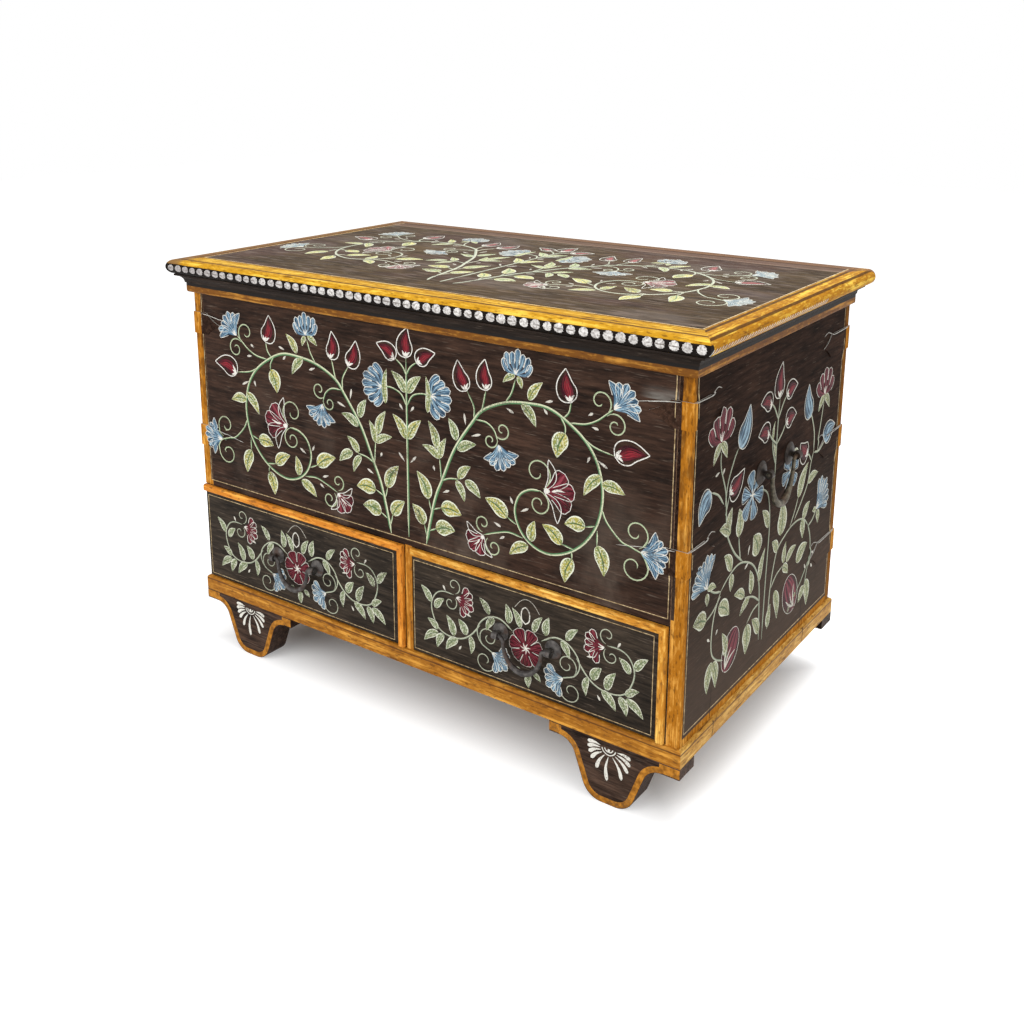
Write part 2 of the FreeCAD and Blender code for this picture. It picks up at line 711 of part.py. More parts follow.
def build_drawers():
    runner_top = BASE_TOP + RUNNER_HEIGHT
    left_box = (-INSIDE + DRAWER_PLAY, DIVIDER_LEFT - DRAWER_PLAY)
    right_box = (DIVIDER_RIGHT + DRAWER_PLAY, INSIDE - DRAWER_PLAY)
    left_front = (-HALF_WIDTH, DIVIDER_LEFT - DRAWER_REVEAL)
    right_front = (DIVIDER_RIGHT + DRAWER_REVEAL, INSIDE - DRAWER_REVEAL)
    drawer("left", left_front, left_box, runner_top + DRAWER_SLIP)
    drawer("right", right_front, right_box, runner_top + DRAWER_SLIP)
    runners = []
    stops = []
    runner_y = (FRONT + DRAWER_FRONT + DRAWER_REVEAL, BACK_INNER)
    for opening, box_x in (
        ((-INSIDE, DIVIDER_LEFT), left_box),
        ((DIVIDER_RIGHT, INSIDE), right_box),
    ):
        for runner_x in (
            (opening[0], opening[0] + RUNNER_WIDTH),
            (opening[1] - RUNNER_WIDTH, opening[1]),
        ):
            runners.append(box(runner_x, runner_y, (BASE_TOP, runner_top)))
        for middle in (box_x[0] + STOP_INSET, box_x[1] - STOP_INSET):
            stop_x = (middle - STOP_WIDTH / 2, middle + STOP_WIDTH / 2)
            stop_z = (BASE_TOP, BASE_TOP + STOP_HEIGHT)
            stops.append(box(stop_x, (BACK_INNER - STOP_DEPTH, BACK_INNER), stop_z))
    save("drawer_runners", *runners)
    save("drawer_stops", *stops)


def build_lid():
    front_board, rear_board = lid_boards()
    save("lid_front_board", front_board)
    save("lid_rear_board", rear_board)
    for side in ("front", "left", "right"):
        save("lid_moulding_" + side, lid_moulding(side))
    rail_y = (BACK - LID_BACK_RAIL, BACK)
    back_rail = box((-INSIDE, INSIDE), rail_y, (RIM, LID_UNDERSIDE))
    for side, end in (("left", -1), ("right", 1)):
        lower, upper, pin = hinge_leaves(end * HINGE_SPACING / 2)
        back_rail = back_rail.cut(upper)
        save("hinge_" + side + "_lower_leaf", lower)
        save("hinge_" + side + "_upper_leaf", upper)
        save("hinge_" + side + "_pin", pin)
        middle = end * LID_BATTEN_SPACING / 2
        batten_x = (middle - LID_BATTEN_WIDTH / 2, middle + LID_BATTEN_WIDTH / 2)
        batten_y = (FRONT + BOARD, rail_y[0])
        batten_z = (LID_UNDERSIDE - LID_BATTEN, LID_UNDERSIDE)
        save("lid_" + side + "_batten", box(batten_x, batten_y, batten_z))
    save("lid_back_rail", back_rail)


os.makedirs("parts", exist_ok=True)
build_carcass()
build_straps()
build_drawers()
build_lid()
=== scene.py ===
# %% [markdown]
# # A painted lift-lid chest
# This lesson dresses a wooden chest whose boards, drawers, lid and iron already exist as exact solids.
# The solids stay as they are. What we add is what the painter and the years have added: coats of paint
# with grain showing through, a garden of brush strokes, ruled lines, a row of white dots, and wear.

# %% The frame
import collections
import math

import bpy
import numpy as np
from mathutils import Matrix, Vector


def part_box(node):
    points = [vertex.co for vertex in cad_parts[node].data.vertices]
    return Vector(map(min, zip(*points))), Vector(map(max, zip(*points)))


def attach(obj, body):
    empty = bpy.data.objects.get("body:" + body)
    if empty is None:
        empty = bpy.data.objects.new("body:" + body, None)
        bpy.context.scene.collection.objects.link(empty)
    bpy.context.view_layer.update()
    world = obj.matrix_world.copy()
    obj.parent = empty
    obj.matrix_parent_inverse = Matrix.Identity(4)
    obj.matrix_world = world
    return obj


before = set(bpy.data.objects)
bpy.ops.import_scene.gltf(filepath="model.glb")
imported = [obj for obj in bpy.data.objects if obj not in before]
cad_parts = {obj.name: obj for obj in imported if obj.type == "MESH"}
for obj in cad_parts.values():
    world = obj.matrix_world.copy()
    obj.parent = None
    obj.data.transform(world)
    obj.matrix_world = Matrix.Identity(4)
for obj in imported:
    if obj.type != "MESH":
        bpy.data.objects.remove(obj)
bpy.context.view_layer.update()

MM = 0.001

# %% [markdown]
# Every place that follows is measured from a few planes of the chest, so we read those planes from the
# solids instead of writing them down again.

# %% Planes of the chest
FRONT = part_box("front_panel")[0].y
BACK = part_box("back_upper_board")[1].y
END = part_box("right_end_panel")[1].x
BASE_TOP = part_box("base_rail_front")[1].z
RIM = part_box("right_end_panel")[1].z
PANEL_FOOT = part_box("front_panel")[0].z
LID_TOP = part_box("lid_front_board")[1].z
LID_LOW, LID_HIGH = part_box("lid_front_board")[0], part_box("lid_rear_board")[1]
print("front", round(FRONT, 4), "end", round(END, 4), "lid top", round(LID_TOP, 4))

# %% [markdown]
# ## Camera
# The camera stands where the photographer stood: its place, turn and lens were worked out from the box's
# edges. The picture's frame was cropped off centre, which is what the lens shift is for.

# %% Camera
CAMERA_PLACE = (1.1454, -1.6434, 1.0944)
CAMERA_AZIMUTH = 35.92
CAMERA_ELEVATION = 13.84
CAMERA_LENS = 40.57
CAMERA_SHIFT = (0.0208, -0.162)

camera = bpy.data.objects.new("camera", bpy.data.cameras.new("camera"))
bpy.context.scene.collection.objects.link(camera)
camera.location = CAMERA_PLACE
camera.rotation_euler = (math.radians(90 - CAMERA_ELEVATION), 0, math.radians(CAMERA_AZIMUTH))
camera.data.lens = CAMERA_LENS
camera.data.shift_x, camera.data.shift_y = CAMERA_SHIFT
bpy.context.scene.camera = camera
bpy.context.scene.view_settings.view_transform = "Standard"
print("camera", CAMERA_PLACE, "lens", CAMERA_LENS)

# %% [markdown]
# ## A kit for wiring nodes
# A material is a small machine of nodes, and so is the light of the world. Wiring each one by hand is
# long, so this helper adds a node, fills its inputs with plain values or with other nodes' outputs, and
# hands back what the next node needs.

# %% The wiring kit


class Wiring:
    """The nodes of a material or of the world, and the few sums that everything here is made of."""

    def __init__(self, owner):
        owner.use_nodes = True
        self.owner = owner
        self.nodes = owner.node_tree.nodes
        self.links = owner.node_tree.links

    def add(self, kind, inputs=(), **settings):
        """A new node with its settings, and its inputs as plain values or other nodes' outputs."""
        node = self.nodes.new("ShaderNode" + kind)
        for key, value in settings.items():
            setattr(node, key, value)
        for key, value in dict(inputs).items():
            if isinstance(value, bpy.types.NodeSocket):
                self.links.new(value, node.inputs[key])
            else:
                node.inputs[key].default_value = value
        return node

    def sum(self, operation, a, b=0.0):
        """One step of arithmetic on two values."""
        return self.add("Math", {0: a, 1: b}, operation=operation).outputs[0]

    def times(self, a, b):
        """One value times another; of two zones, where both are."""
        return self.sum("MULTIPLY", a, b)

    def larger(self, a, b):
        """The larger of two values; of two zones, where either is."""
        return self.sum("MAXIMUM", a, b)

    def rise(self, value, low, high):
        """0 below low, 1 above high, and a smooth step between; with low above high it falls instead."""
        inputs = {"Value": value, "From Min": low, "From Max": high}
        return self.add("MapRange", inputs, interpolation_type="SMOOTHSTEP").outputs[0]

    def seen_directly(self):
        """1 for a ray from the camera or from a glossy or clear surface, else 0: the largest of 3 flags."""
        flags = self.add("LightPath").outputs
        seen = self.larger(flags["Is Camera Ray"], flags["Is Glossy Ray"])
        return self.larger(seen, flags["Is Transmission Ray"])


print("wiring kit ready")

# %% [markdown]
# ## Floor and light
# A studio sweep looks white because it is white, not because more light falls on it. The floor is a pale
# diffuse sheet that adds a little glow of its own, only to rays that come from the camera or from a
# mirror-like surface. The glow hides the horizon. It fades out toward the chest and is gone beneath it,
# which paints a shadow round and under the chest's base.

# %% Floor
FLOOR_HALF = 9.0
FLOOR_PALE = 0.82
FLOOR_GLOW = 0.55
# Between these distances the glow fades out: a painted shadow round and under the chest's base.
PAINTED_SHADOW_CORE, PAINTED_SHADOW_EDGE = -0.12, 0.07      # metres outside the chest's outline


def floor_material():
    """A diffuse sheet plus a glow that rises with the distance outside the chest, in x or y as is larger;
    where the glow is low it paints a shadow round the chest.
    """
    floor = Wiring(bpy.data.materials.new("studio_floor"))
    floor.nodes.clear()
    sheet = floor.add("BsdfDiffuse", {"Color": (FLOOR_PALE, FLOOR_PALE, FLOOR_PALE, 1)})
    place = floor.add("TexCoord").outputs["Object"]
    folded = floor.add("VectorMath", {0: place}, operation="ABSOLUTE").outputs[0]
    beyond = floor.add("VectorMath", {0: folded, 1: (END, -FRONT, 0)}, operation="SUBTRACT").outputs[0]
    beyond_x, beyond_y, _ = floor.add("SeparateXYZ", {0: beyond}).outputs
    glow = floor.rise(floor.larger(beyond_x, beyond_y), PAINTED_SHADOW_CORE, PAINTED_SHADOW_EDGE)
    strength = floor.times(floor.times(glow, FLOOR_GLOW), floor.seen_directly())
    light = floor.add("Emission", {"Strength": strength})
    both = floor.add("AddShader", {0: sheet.outputs[0], 1: light.outputs[0]})
    floor.add("OutputMaterial", {"Surface": both.outputs[0]})
    return floor.owner


floor_mesh = bpy.data.meshes.new("studio_floor")
floor_corners = [(x * FLOOR_HALF, y * FLOOR_HALF, 0) for x, y in ((-1, -1), (1, -1), (1, 1), (-1, 1))]
floor_mesh.from_pydata(floor_corners, [], [(0, 1, 2, 3)])
floor_mesh.materials.append(floor_material())
studio_floor = bpy.data.objects.new("studio_floor", floor_mesh)
bpy.context.scene.collection.objects.link(studio_floor)
print("floor", 2 * FLOOR_HALF, "m wide")

# %% [markdown]
# The world gives an even light from all sides, as the walls of a pale room do. Seen directly it is pure
# white, so that it meets the floor without an edge.

# %% World
AMBIENT = 0.62

world = bpy.data.worlds.new("studio")
bpy.context.scene.world = world
room = Wiring(world)
room_light = room.add("MapRange", {"Value": room.seen_directly(), "To Min": AMBIENT, "To Max": 1.0})
sky = room.nodes["Background"]
sky.inputs["Color"].default_value = (1, 1, 1, 1)
room.links.new(room_light.outputs[0], sky.inputs["Strength"])
print("world light", AMBIENT)

# %% [markdown]
# Three large soft lamps do the rest: a key high overhead and a little behind, which drops the shadow in
# front of the chest, a broad lamp low in front whose own shadow hides behind it, and a weak fill for the
# right end.

# %% Lamps
# Name, place and width in metres, power in watts
LAMPS = [("key_lamp", (0.6, 0.5, 3.2), 2.0, 70),
         ("front_lamp", (-0.8, -3.6, 1.7), 3.0, 110),
         ("fill_lamp", (3.4, -0.8, 1.4), 2.4, 30)]


def soft_lamp(name, place, size, power):
    """A square area lamp aimed at the middle of the chest."""
    lamp = bpy.data.lights.new(name, "AREA")
    lamp.size = size
    lamp.energy = power
    holder = bpy.data.objects.new(name, lamp)
    bpy.context.scene.collection.objects.link(holder)
    holder.location = place
    aim = np.array([0, 0, RIM / 2]) - np.array(place)
    turn = math.atan2(aim[1], aim[0]) - math.pi / 2
    tilt = math.atan2(aim[2], math.hypot(aim[0], aim[1])) + math.pi / 2
    holder.rotation_euler = (tilt, 0, turn)


for lamp in LAMPS:
    soft_lamp(*lamp)
print("lamps:", len(LAMPS))

# %% [markdown]
# ## A kit for mixing finishes
# A finish is a material whose patterns are measured in metres on the chest itself. That works because
# every object's own origin is the chest's origin. Where a coat stops at a line, the line wobbles a
# little, as it does when a brush is held by hand.

# %% The finish kit
MIX_FACTOR, MIX_A, MIX_B, MIX_RESULT = 0, 6, 7, 2     # the sockets of a Mix node that carry colours
HAND_WOBBLE = 1.6 * MM        # how far a painted edge strays
WOBBLE_SCALE = (28, 28, 28)   # cycles a metre
BRUSH_EDGE = 0.5 * MM         # softness of a painted edge


class Finish(Wiring):
    """A material being mixed: its shader, and the place on the chest as x, y and z."""

    def __init__(self, name, roughness=0.5, specular=0.5, metallic=0.0):
        super().__init__(bpy.data.materials.new(name))
        self.shader = self.nodes["Principled BSDF"]
        self.shader.inputs["Roughness"].default_value = roughness
        self.shader.inputs["Specular IOR Level"].default_value = specular
        self.shader.inputs["Metallic"].default_value = metallic
        self.place = self.add("TexCoord").outputs["Object"]
        self.x, self.y, self.z = self.add("SeparateXYZ", {0: self.place}).outputs

    def noise(self, scale, detail=4.0, roughness=0.55, vector=None):
        """Cloudy noise with its own scale along each axis, in cycles a metre."""
        scaled = self.add("Mapping", {"Vector": vector or self.place, "Scale": scale}).outputs[0]
        inputs = {"Vector": scaled, "Scale": 1.0, "Detail": detail, "Roughness": roughness}
        return self.add("TexNoise", inputs).outputs["Fac"]

    def patches(self, scale, low, high, detail=4.0):
        """Cloudy patches: 0 where the noise is below low, 1 where it is above high."""
        return self.rise(self.noise(scale, detail), low, high)

    def zone(self, value, low, high):
        """1 between two values of a coordinate, with edges that wobble as a hand-held brush does."""
        wobble = self.sum("SUBTRACT", self.noise(WOBBLE_SCALE, detail=2), 0.5)
        value = self.sum("ADD", value, self.times(wobble, HAND_WOBBLE))
        above = self.rise(value, low - BRUSH_EDGE, low + BRUSH_EDGE)
        return self.times(above, self.rise(value, high + BRUSH_EDGE, high - BRUSH_EDGE))

    def ramp(self, value, *stops):
        """A colour for each stop (position, red, green, blue), and blends between them."""
        node = self.add("ValToRGB", {"Fac": value})
        elements = node.color_ramp.elements
        while len(elements) < len(stops):
            elements.new(1.0)
        for element, (position, *colour) in zip(elements, stops):
            element.position = position
            element.color = (*colour, 1)
        return node.outputs["Color"]

    def mix(self, factor, under, over, amount=1.0):
        """Over on top of under, as far as factor times amount; a colour is an output or a plain triple."""
        inputs = {MIX_FACTOR: factor if amount == 1.0 else self.times(factor, amount)}
        for index, colour in ((MIX_A, under), (MIX_B, over)):
            inputs[index] = (*colour, 1) if isinstance(colour, tuple) else colour
        return self.add("Mix", inputs, data_type="RGBA").outputs[MIX_RESULT]

    def bump(self, height, depth):
        """Lets a pattern raise the surface by up to depth metres."""
        node = self.add("Bump", {"Height": height, "Distance": depth, "Strength": 1.0})
        self.links.new(node.outputs[0], self.shader.inputs["Normal"])

    def done(self, colour, roughness=None):
        """The finished material, with its colour and perhaps its roughness wired to the shader."""
        self.links.new(colour, self.shader.inputs["Base Color"])
        if roughness is not None:
            self.links.new(roughness, self.shader.inputs["Roughness"])
        return self.owner


print("finish kit ready")

# %% [markdown]
# ## Coats of paint on wood
# The dark ground is a thin, old, nearly black maroon paint: the grain shows through as long streaks, dust
# has settled in it, and hands have scratched it. The ochre of the mouldings is streakier still, from
# orange to yellow, and worn to brown. A picture of wood could give such streaks, but noise that is
# stretched along the grain never repeats. Each coat is a function that returns a colour, so that one
# board can carry two coats.

# %% Coats
DUST = (0.12, 0.09, 0.07)
BLACK = (0.008, 0.006, 0.005)
MAROON = (0.0072, 0.0038, 0.0026), (0.056, 0.029, 0.019)     # deep and light
ORANGE, AMBER, BROWN = (0.33, 0.122, 0.010), (0.66, 0.330, 0.065), (0.075, 0.026, 0.006)
WOOD_DARK, WOOD, WOOD_PALE = (0.07, 0.038, 0.021), (0.15, 0.085, 0.048), (0.23, 0.142, 0.085)
PORE, STAIN = (0.04, 0.021, 0.012), (0.07, 0.045, 0.030)


def stretched(along, fine, coarse):
    """A noise scale that is coarse along the grain and fine across it."""
    return tuple(coarse if axis == along else fine for axis in "xyz")


def dark_coat(finish, along, deep, light, dust=DUST):
    """Streaked dark paint: a grain noise chooses from deep to light, a finer one adds scratches of dust."""
    grain = finish.noise(stretched(along, 150, 16), detail=8, roughness=0.7)
    clouds = finish.noise((9, 9, 9))
    shade = finish.sum("ADD", finish.times(grain, 0.75), finish.times(clouds, 0.3))
    middle = tuple(0.6 * a + 0.4 * b for a, b in zip(deep, light))
    colour = finish.ramp(shade, (0.40, *deep), (0.54, *middle), (0.70, *light))
    scratches = finish.patches(stretched(along, 480, 30), 0.60, 0.74, detail=3)
    return finish.mix(scratches, colour, dust, 0.55), grain


def ochre_coat(finish, along, deep=ORANGE, bright=AMBER, brown=BROWN):
    """Streaked ochre: grain noise runs from brown through deep to bright, with worn specks of brown."""
    grain = finish.noise(stretched(along, 150, 7), detail=7, roughness=0.62)
    clouds = finish.noise((16, 16, 16))
    shade = finish.sum("ADD", finish.times(grain, 0.7), finish.times(clouds, 0.4))
    colour = finish.ramp(shade, (0.40, *brown), (0.48, *deep), (0.57, *deep), (0.68, *bright))
    worn = finish.noise(stretched(along, 240, 70), detail=5)
    colour = finish.mix(finish.rise(worn, 0.56, 0.66), colour, brown, 0.6)
    return finish.mix(finish.rise(worn, 0.46, 0.36), colour, bright, 0.4), grain


def bare_coat(finish, along):
    """Old unpainted wood: brown streaks with short dark pores and a few broad stains."""
    grain = finish.noise(stretched(along, 200, 5), detail=8, roughness=0.65)
    colour = finish.ramp(grain, (0.34, *WOOD_DARK), (0.5, *WOOD), (0.66, *WOOD_PALE))
    pores = finish.patches(stretched(along, 700, 40), 0.58, 0.68, detail=2)
    colour = finish.mix(pores, colour, PORE, 0.6)
    stain = finish.patches(stretched(along, 9, 3), 0.50, 0.70, detail=3)
    return finish.mix(stain, colour, STAIN, 0.35), grain


print("coats: maroon, ochre, bare wood")

# %% [markdown]
# The simplest pieces carry one coat each: dark feet and mouldings, ochre rails and beads, and bare boards
# inside. The rails also have a brown line ruled along them, and the band under the rim turns black at its
# top.

# %% Plain boards and rails
RELIEF = 0.5 * MM             # how far the grain stands up under the paint


def dark_board(name, deep, light, bare=None):
    """Dark paint all over, except where bare(finish) says that the wood is left bare."""
    finish = Finish(name, specular=0.04)
    colour, grain = dark_coat(finish, "x", deep, light)
    if bare:
        inner, _ = bare_coat(finish, "x")
        colour = finish.mix(bare(finish), colour, inner)
    finish.bump(grain, RELIEF)
    return finish.done(colour)


def ochre_rail(name, along, deep=ORANGE, bright=AMBER, lines=(), black=()):
    """Ochre paint, with brown lines ruled between pairs of heights, and black between others."""
    finish = Finish(name, specular=0.08)
    colour, grain = ochre_coat(finish, along, deep, bright)
    for low, high in lines:
        colour = finish.mix(finish.zone(finish.z, low, high), colour, BROWN, 0.85)
    for low, high in black:
        colour = finish.mix(finish.zone(finish.z, low, high), colour, BLACK)
    finish.bump(grain, 1.4 * RELIEF)
    return finish.done(colour)


def bare_board(name, along):
    """Bare wood all over."""
    finish = Finish(name, roughness=0.75, specular=0.25)
    colour, grain = bare_coat(finish, along)
    finish.bump(grain, RELIEF)
    return finish.done(colour)


print("plain boards ready")

# %% [markdown]
# ## The end boards
# Each end is one dark board whose edges are painted as if they were posts and a plinth: ochre up the
# front and back edges and along the foot. Strips of wood could be added for these, but on the real chest
# they are only paint, so we paint zones of the board. The ends' dark paint is darker than the front's, a
# painted shade, and lighter toward the floor: dust lies there, while the rim keeps a painted shade under
# the lid. The ochre is stained toward the rim.

# %% End board finish
FAR = 9.0                                    # metres, past every edge of the chest
SKIN = 0.5 * MM                              # over how far one coat gives way to another
# The ends' maroon is a darker copy of the front's: a painted shade on the ends.
END_DARK_SHADED = (0.0055, 0.0029, 0.0020), (0.043, 0.022, 0.0145)
POST_WIDTH, POST_DEPTH = 16 * MM, 9 * MM     # ochre at the front corner: across the front, along the end
PANEL_LAP = 10 * MM                          # the whole front edge is ochre up to this far past the drawers
FOOT_STRIPE, BACK_STRIPE = 11 * MM, 16 * MM
BACK_SHADE = BACK - 20 * MM, BACK - 14 * MM
STAIN_RISE = PANEL_FOOT - 100 * MM, RIM
# From the rim down to the base, the ends go from painted shade to dust.
DUST_AND_SHADE_RISE = RIM - 200 * MM, BASE_TOP
END_INSIDE = END - 21 * MM


def dust_and_rim_shade(finish):
    """How much lighter the ends are toward the base: dust there, and a painted shade left near the rim."""
    return finish.times(finish.rise(finish.z, *DUST_AND_SHADE_RISE), 0.42)


def end_edges(finish, outward):
    """1 where an end board is ochre: front corner, all the front edge beside the drawers, foot and back."""
    beside = finish.zone(finish.z, -FAR, PANEL_FOOT + PANEL_LAP)
    reach = finish.larger(finish.zone(outward, END - POST_WIDTH, FAR), beside)
    edges = finish.times(finish.zone(finish.y, -FAR, FRONT + POST_DEPTH), reach)
    edges = finish.larger(edges, finish.zone(finish.z, -FAR, BASE_TOP + FOOT_STRIPE))
    return finish.larger(edges, finish.zone(finish.y, BACK - BACK_STRIPE, FAR))


def end_board():
    """An end board: dark outside, bare inside, ochre on its edges."""
    finish = Finish("end_board_paint", roughness=0.6, specular=0.012)
    dark, grain = dark_coat(finish, "y", *END_DARK_SHADED)
    # Lighter toward the base with dust; the darker top is a painted shade under the lid.
    dark = finish.mix(dust_and_rim_shade(finish), dark, DUST)
    ochre, _ = ochre_coat(finish, "z")
    stain = finish.times(finish.patches((70, 70, 26), 0.43, 0.58), finish.rise(finish.z, *STAIN_RISE))
    ochre = finish.mix(stain, ochre, BROWN, 0.8)
    ochre = finish.mix(finish.rise(finish.y, *BACK_SHADE), ochre, BROWN, 0.55)
    outward = finish.sum("ABSOLUTE", finish.x)
    colour = finish.mix(end_edges(finish, outward), dark, ochre)
    bare, _ = bare_coat(finish, "y")
    colour = finish.mix(finish.rise(outward, END_INSIDE, END_INSIDE - SKIN), colour, bare)
    finish.bump(grain, RELIEF)
    return finish.done(colour)


print("end board ready")

# %% [markdown]
# ## The lid boards
# The lid has a dusty field inside a golden border that is mitred like a picture frame, with brown lines
# along it. The border along the back is worn nearly away, and the left end has gone brown. The lower half
# of the front nose is black, ready for its row of dots. All of this is measured from the lid's edges.

# %% Lid board finish
LID_DARK, LID_DUST = ((0.023, 0.013, 0.006), (0.122, 0.078, 0.036)), (0.29, 0.26, 0.19)
GOLD, LEMON = (0.45, 0.225, 0.012), (0.80, 0.520, 0.075)
END_GOLD, END_BROWN = (0.38, 0.165, 0.010), (0.13, 0.050, 0.008)
LINE_BROWN = (0.050, 0.018, 0.005)
LID_END_BORDER, LID_FRONT_BORDER, LID_BACK_BORDER = 38 * MM, 56 * MM, 63 * MM
LID_END_LINES = [(5 * MM, 10 * MM), (28 * MM, 35 * MM)]
LID_FRONT_LINES = [(17 * MM, 23 * MM), (51 * MM, 54 * MM)]
LEFT_WORN_RISE, LEFT_WORN = (-0.49, -0.51), (0.15, 0.080, 0.040)
NOSE_BLACK_DEPTH, NOSE_BLACK_DROP = 9 * MM, 6.5 * MM
# Smears on the field: noise scale, from and to which value of it, colour
LID_SMEARS = [((3, 7, 5), 0.48, 0.64, (0.075, 0.038, 0.038)),
              ((5, 11, 9), 0.52, 0.70, (0.140, 0.112, 0.095)),
              ((18, 110, 60), 0.52, 0.64, (0.185, 0.140, 0.115)),
              ((16, 90, 60), 0.47, 0.36, (0.014, 0.008, 0.006))]
# The worn border along the back: from and to in metres from the back edge, strength, colour
LID_BACK_BANDS = [(-FAR, 26 * MM, 0.75, (0.200, 0.105, 0.055)),
                  (26 * MM, 32 * MM, 0.8, (0.040, 0.018, 0.010)),
                  (32 * MM, 58 * MM, 0.55, (0.175, 0.105, 0.075)),
                  (58 * MM, LID_BACK_BORDER, 0.6, (0.330, 0.220, 0.160))]


def past_mitre(finish, from_end, from_edge, border):
    """1 on the long edge's side of a mitre: where the place is nearer that edge, in shares of the border."""
    nearer = finish.sum("SUBTRACT", finish.times(from_end, border / LID_END_BORDER), from_edge)
    return finish.rise(nearer, -SKIN, SKIN)


def lid_board():
    """A lid board: dusty field, ochre border with brown lines, black lower nose in front, bare below."""
    finish = Finish("lid_board_paint", roughness=0.55, specular=0.03)
    dark, grain = dark_coat(finish, "x", *LID_DARK, LID_DUST)
    for scale, low, high, smear in LID_SMEARS:
        dark = finish.mix(finish.patches(scale, low, high, detail=5), dark, smear, 0.5)
    from_end = finish.sum("SUBTRACT", LID_HIGH.x, finish.sum("ABSOLUTE", finish.x))
    from_front = finish.sum("SUBTRACT", finish.y, LID_LOW.y)
    from_back = finish.sum("SUBTRACT", LID_HIGH.y, finish.y)
    on_front = past_mitre(finish, from_end, from_front, LID_FRONT_BORDER)
    on_back = past_mitre(finish, from_end, from_back, LID_BACK_BORDER)
    on_end = finish.sum("SUBTRACT", 1.0, on_front)
    ochre, _ = ochre_coat(finish, "x", GOLD, LEMON)
    end_ochre, _ = ochre_coat(finish, "y", END_GOLD, LEMON, END_BROWN)
    ochre = finish.mix(on_end, ochre, end_ochre)
    ochre = finish.mix(finish.rise(finish.x, *LEFT_WORN_RISE), ochre, LEFT_WORN, 0.8)
    border = finish.larger(finish.zone(from_end, -FAR, LID_END_BORDER),
                           finish.zone(from_front, -FAR, LID_FRONT_BORDER))
    colour = finish.mix(border, dark, ochre)
    for side, inset, lines in ((on_end, from_end, LID_END_LINES), (on_front, from_front, LID_FRONT_LINES)):
        for low, high in lines:
            colour = finish.mix(finish.times(finish.zone(inset, low, high), side), colour, LINE_BROWN, 0.85)
    for low, high, amount, rubbed in LID_BACK_BANDS:
        colour = finish.mix(finish.times(finish.zone(from_back, low, high), on_back), colour, rubbed, amount)
    nose = finish.times(finish.rise(from_front, NOSE_BLACK_DEPTH + 2 * SKIN, NOSE_BLACK_DEPTH),
                        finish.zone(finish.z, -FAR, LID_TOP - NOSE_BLACK_DROP))
    colour = finish.mix(nose, colour, BLACK)
    bare, _ = bare_coat(finish, "x")
    colour = finish.mix(finish.rise(finish.z, LID_LOW.z + SKIN, LID_LOW.z), colour, bare)
    finish.bump(grain, 0.8 * RELIEF)
    return finish.done(colour)


print("lid board ready")

# %% [markdown]
# ## The front board
# The front is plain dark paint, dusty toward its foot, with a pale grey smudge above the upper right strap
# that fades upward. A board is painted only where it shows, so its inner face is bare wood, as it is on
# the drawer fronts.

# %% Front board finish
SMUDGE_X = 0.415, 0.445
SMUDGE_FOOT, SMUDGE_TOP = 0.649, 0.672
SMUDGE_GREY = (0.20, 0.19, 0.17)
FRONT_DUST_RISE = RIM - 100 * MM, PANEL_FOOT
FRONT_INSIDE = FRONT + 12 * MM


def inside_front(finish):
    """1 on the faces of the front panel and the drawer fronts that look into the chest."""
    return finish.rise(finish.y, FRONT_INSIDE, FRONT_INSIDE + 2 * SKIN)


def front_board():
    """The front panel: dark paint with dust and a smudge that fades upward, bare wood inside."""
    finish = Finish("front_board_paint", specular=0.04)
    colour, grain = dark_coat(finish, "x", *MAROON)
    smudge = finish.times(finish.rise(finish.x, *SMUDGE_X), finish.rise(finish.z, SMUDGE_TOP, SMUDGE_FOOT))
    smudge = finish.times(smudge, finish.rise(finish.z, SMUDGE_FOOT - SKIN, SMUDGE_FOOT))
    smudge = finish.times(smudge, finish.noise((60, 60, 300)))
    colour = finish.mix(smudge, colour, SMUDGE_GREY)
    dusty = finish.patches((8, 8, 6), 0.50, 0.70, detail=5)
    dusty = finish.times(dusty, finish.rise(finish.z, *FRONT_DUST_RISE))
    colour = finish.mix(dusty, colour, DUST, 0.5)
    bare, _ = bare_coat(finish, "x")
    colour = finish.mix(inside_front(finish), colour, bare)
    finish.bump(grain, RELIEF)
    return finish.done(colour)


print("front board ready")

# %% [markdown]
# ## Iron
# Forged iron is dark and uneven, with rust in the hollows and a dull shine where hands have rubbed it. A
# noise drives all three: colour, roughness and a hammered bump. The corner straps are iron too, but they
# were painted over with the boards, so they carry the boards' coats. Their upward faces are pale, as rubbed
# metal and as a painted highlight along their upper edges.

# %% Iron finishes
# Each iron in its dark hollows, where it is rubbed, and its rust
FORGED = (0.022, 0.019, 0.018), (0.085, 0.076, 0.070), (0.060, 0.030, 0.018)
HANDLE = (0.030, 0.024, 0.016), (0.150, 0.130, 0.090), (0.085, 0.042, 0.022)
PLATE = (0.012, 0.008, 0.006), (0.040, 0.028, 0.020), (0.060, 0.030, 0.016)
# The pale of the straps' upward faces: rubbed metal, and a painted highlight.
RUBBED_METAL_AND_HIGHLIGHT = (0.42, 0.40, 0.36)
STRAP_THICK = 1 * MM
STRAP_BACK_STRIPE = 14 * MM


def iron(name, dark, rubbed, rust):
    """Hammered iron: one noise from dark to rubbed, a broader one for the rust and the roughness."""
    finish = Finish(name, metallic=0.6)
    hammer = finish.noise((130, 130, 130), detail=2)
    broad = finish.noise((45, 45, 45), detail=5)
    colour = finish.ramp(hammer, (0.35, *dark), (0.7, *rubbed))
    colour = finish.mix(finish.rise(broad, 0.52, 0.66), colour, rust, 0.7)
    finish.bump(hammer, 0.25 * MM)
    roughness = finish.add("MapRange", {"Value": broad, "To Min": 0.38, "To Max": 0.7}).outputs[0]
    return finish.done(colour, roughness)


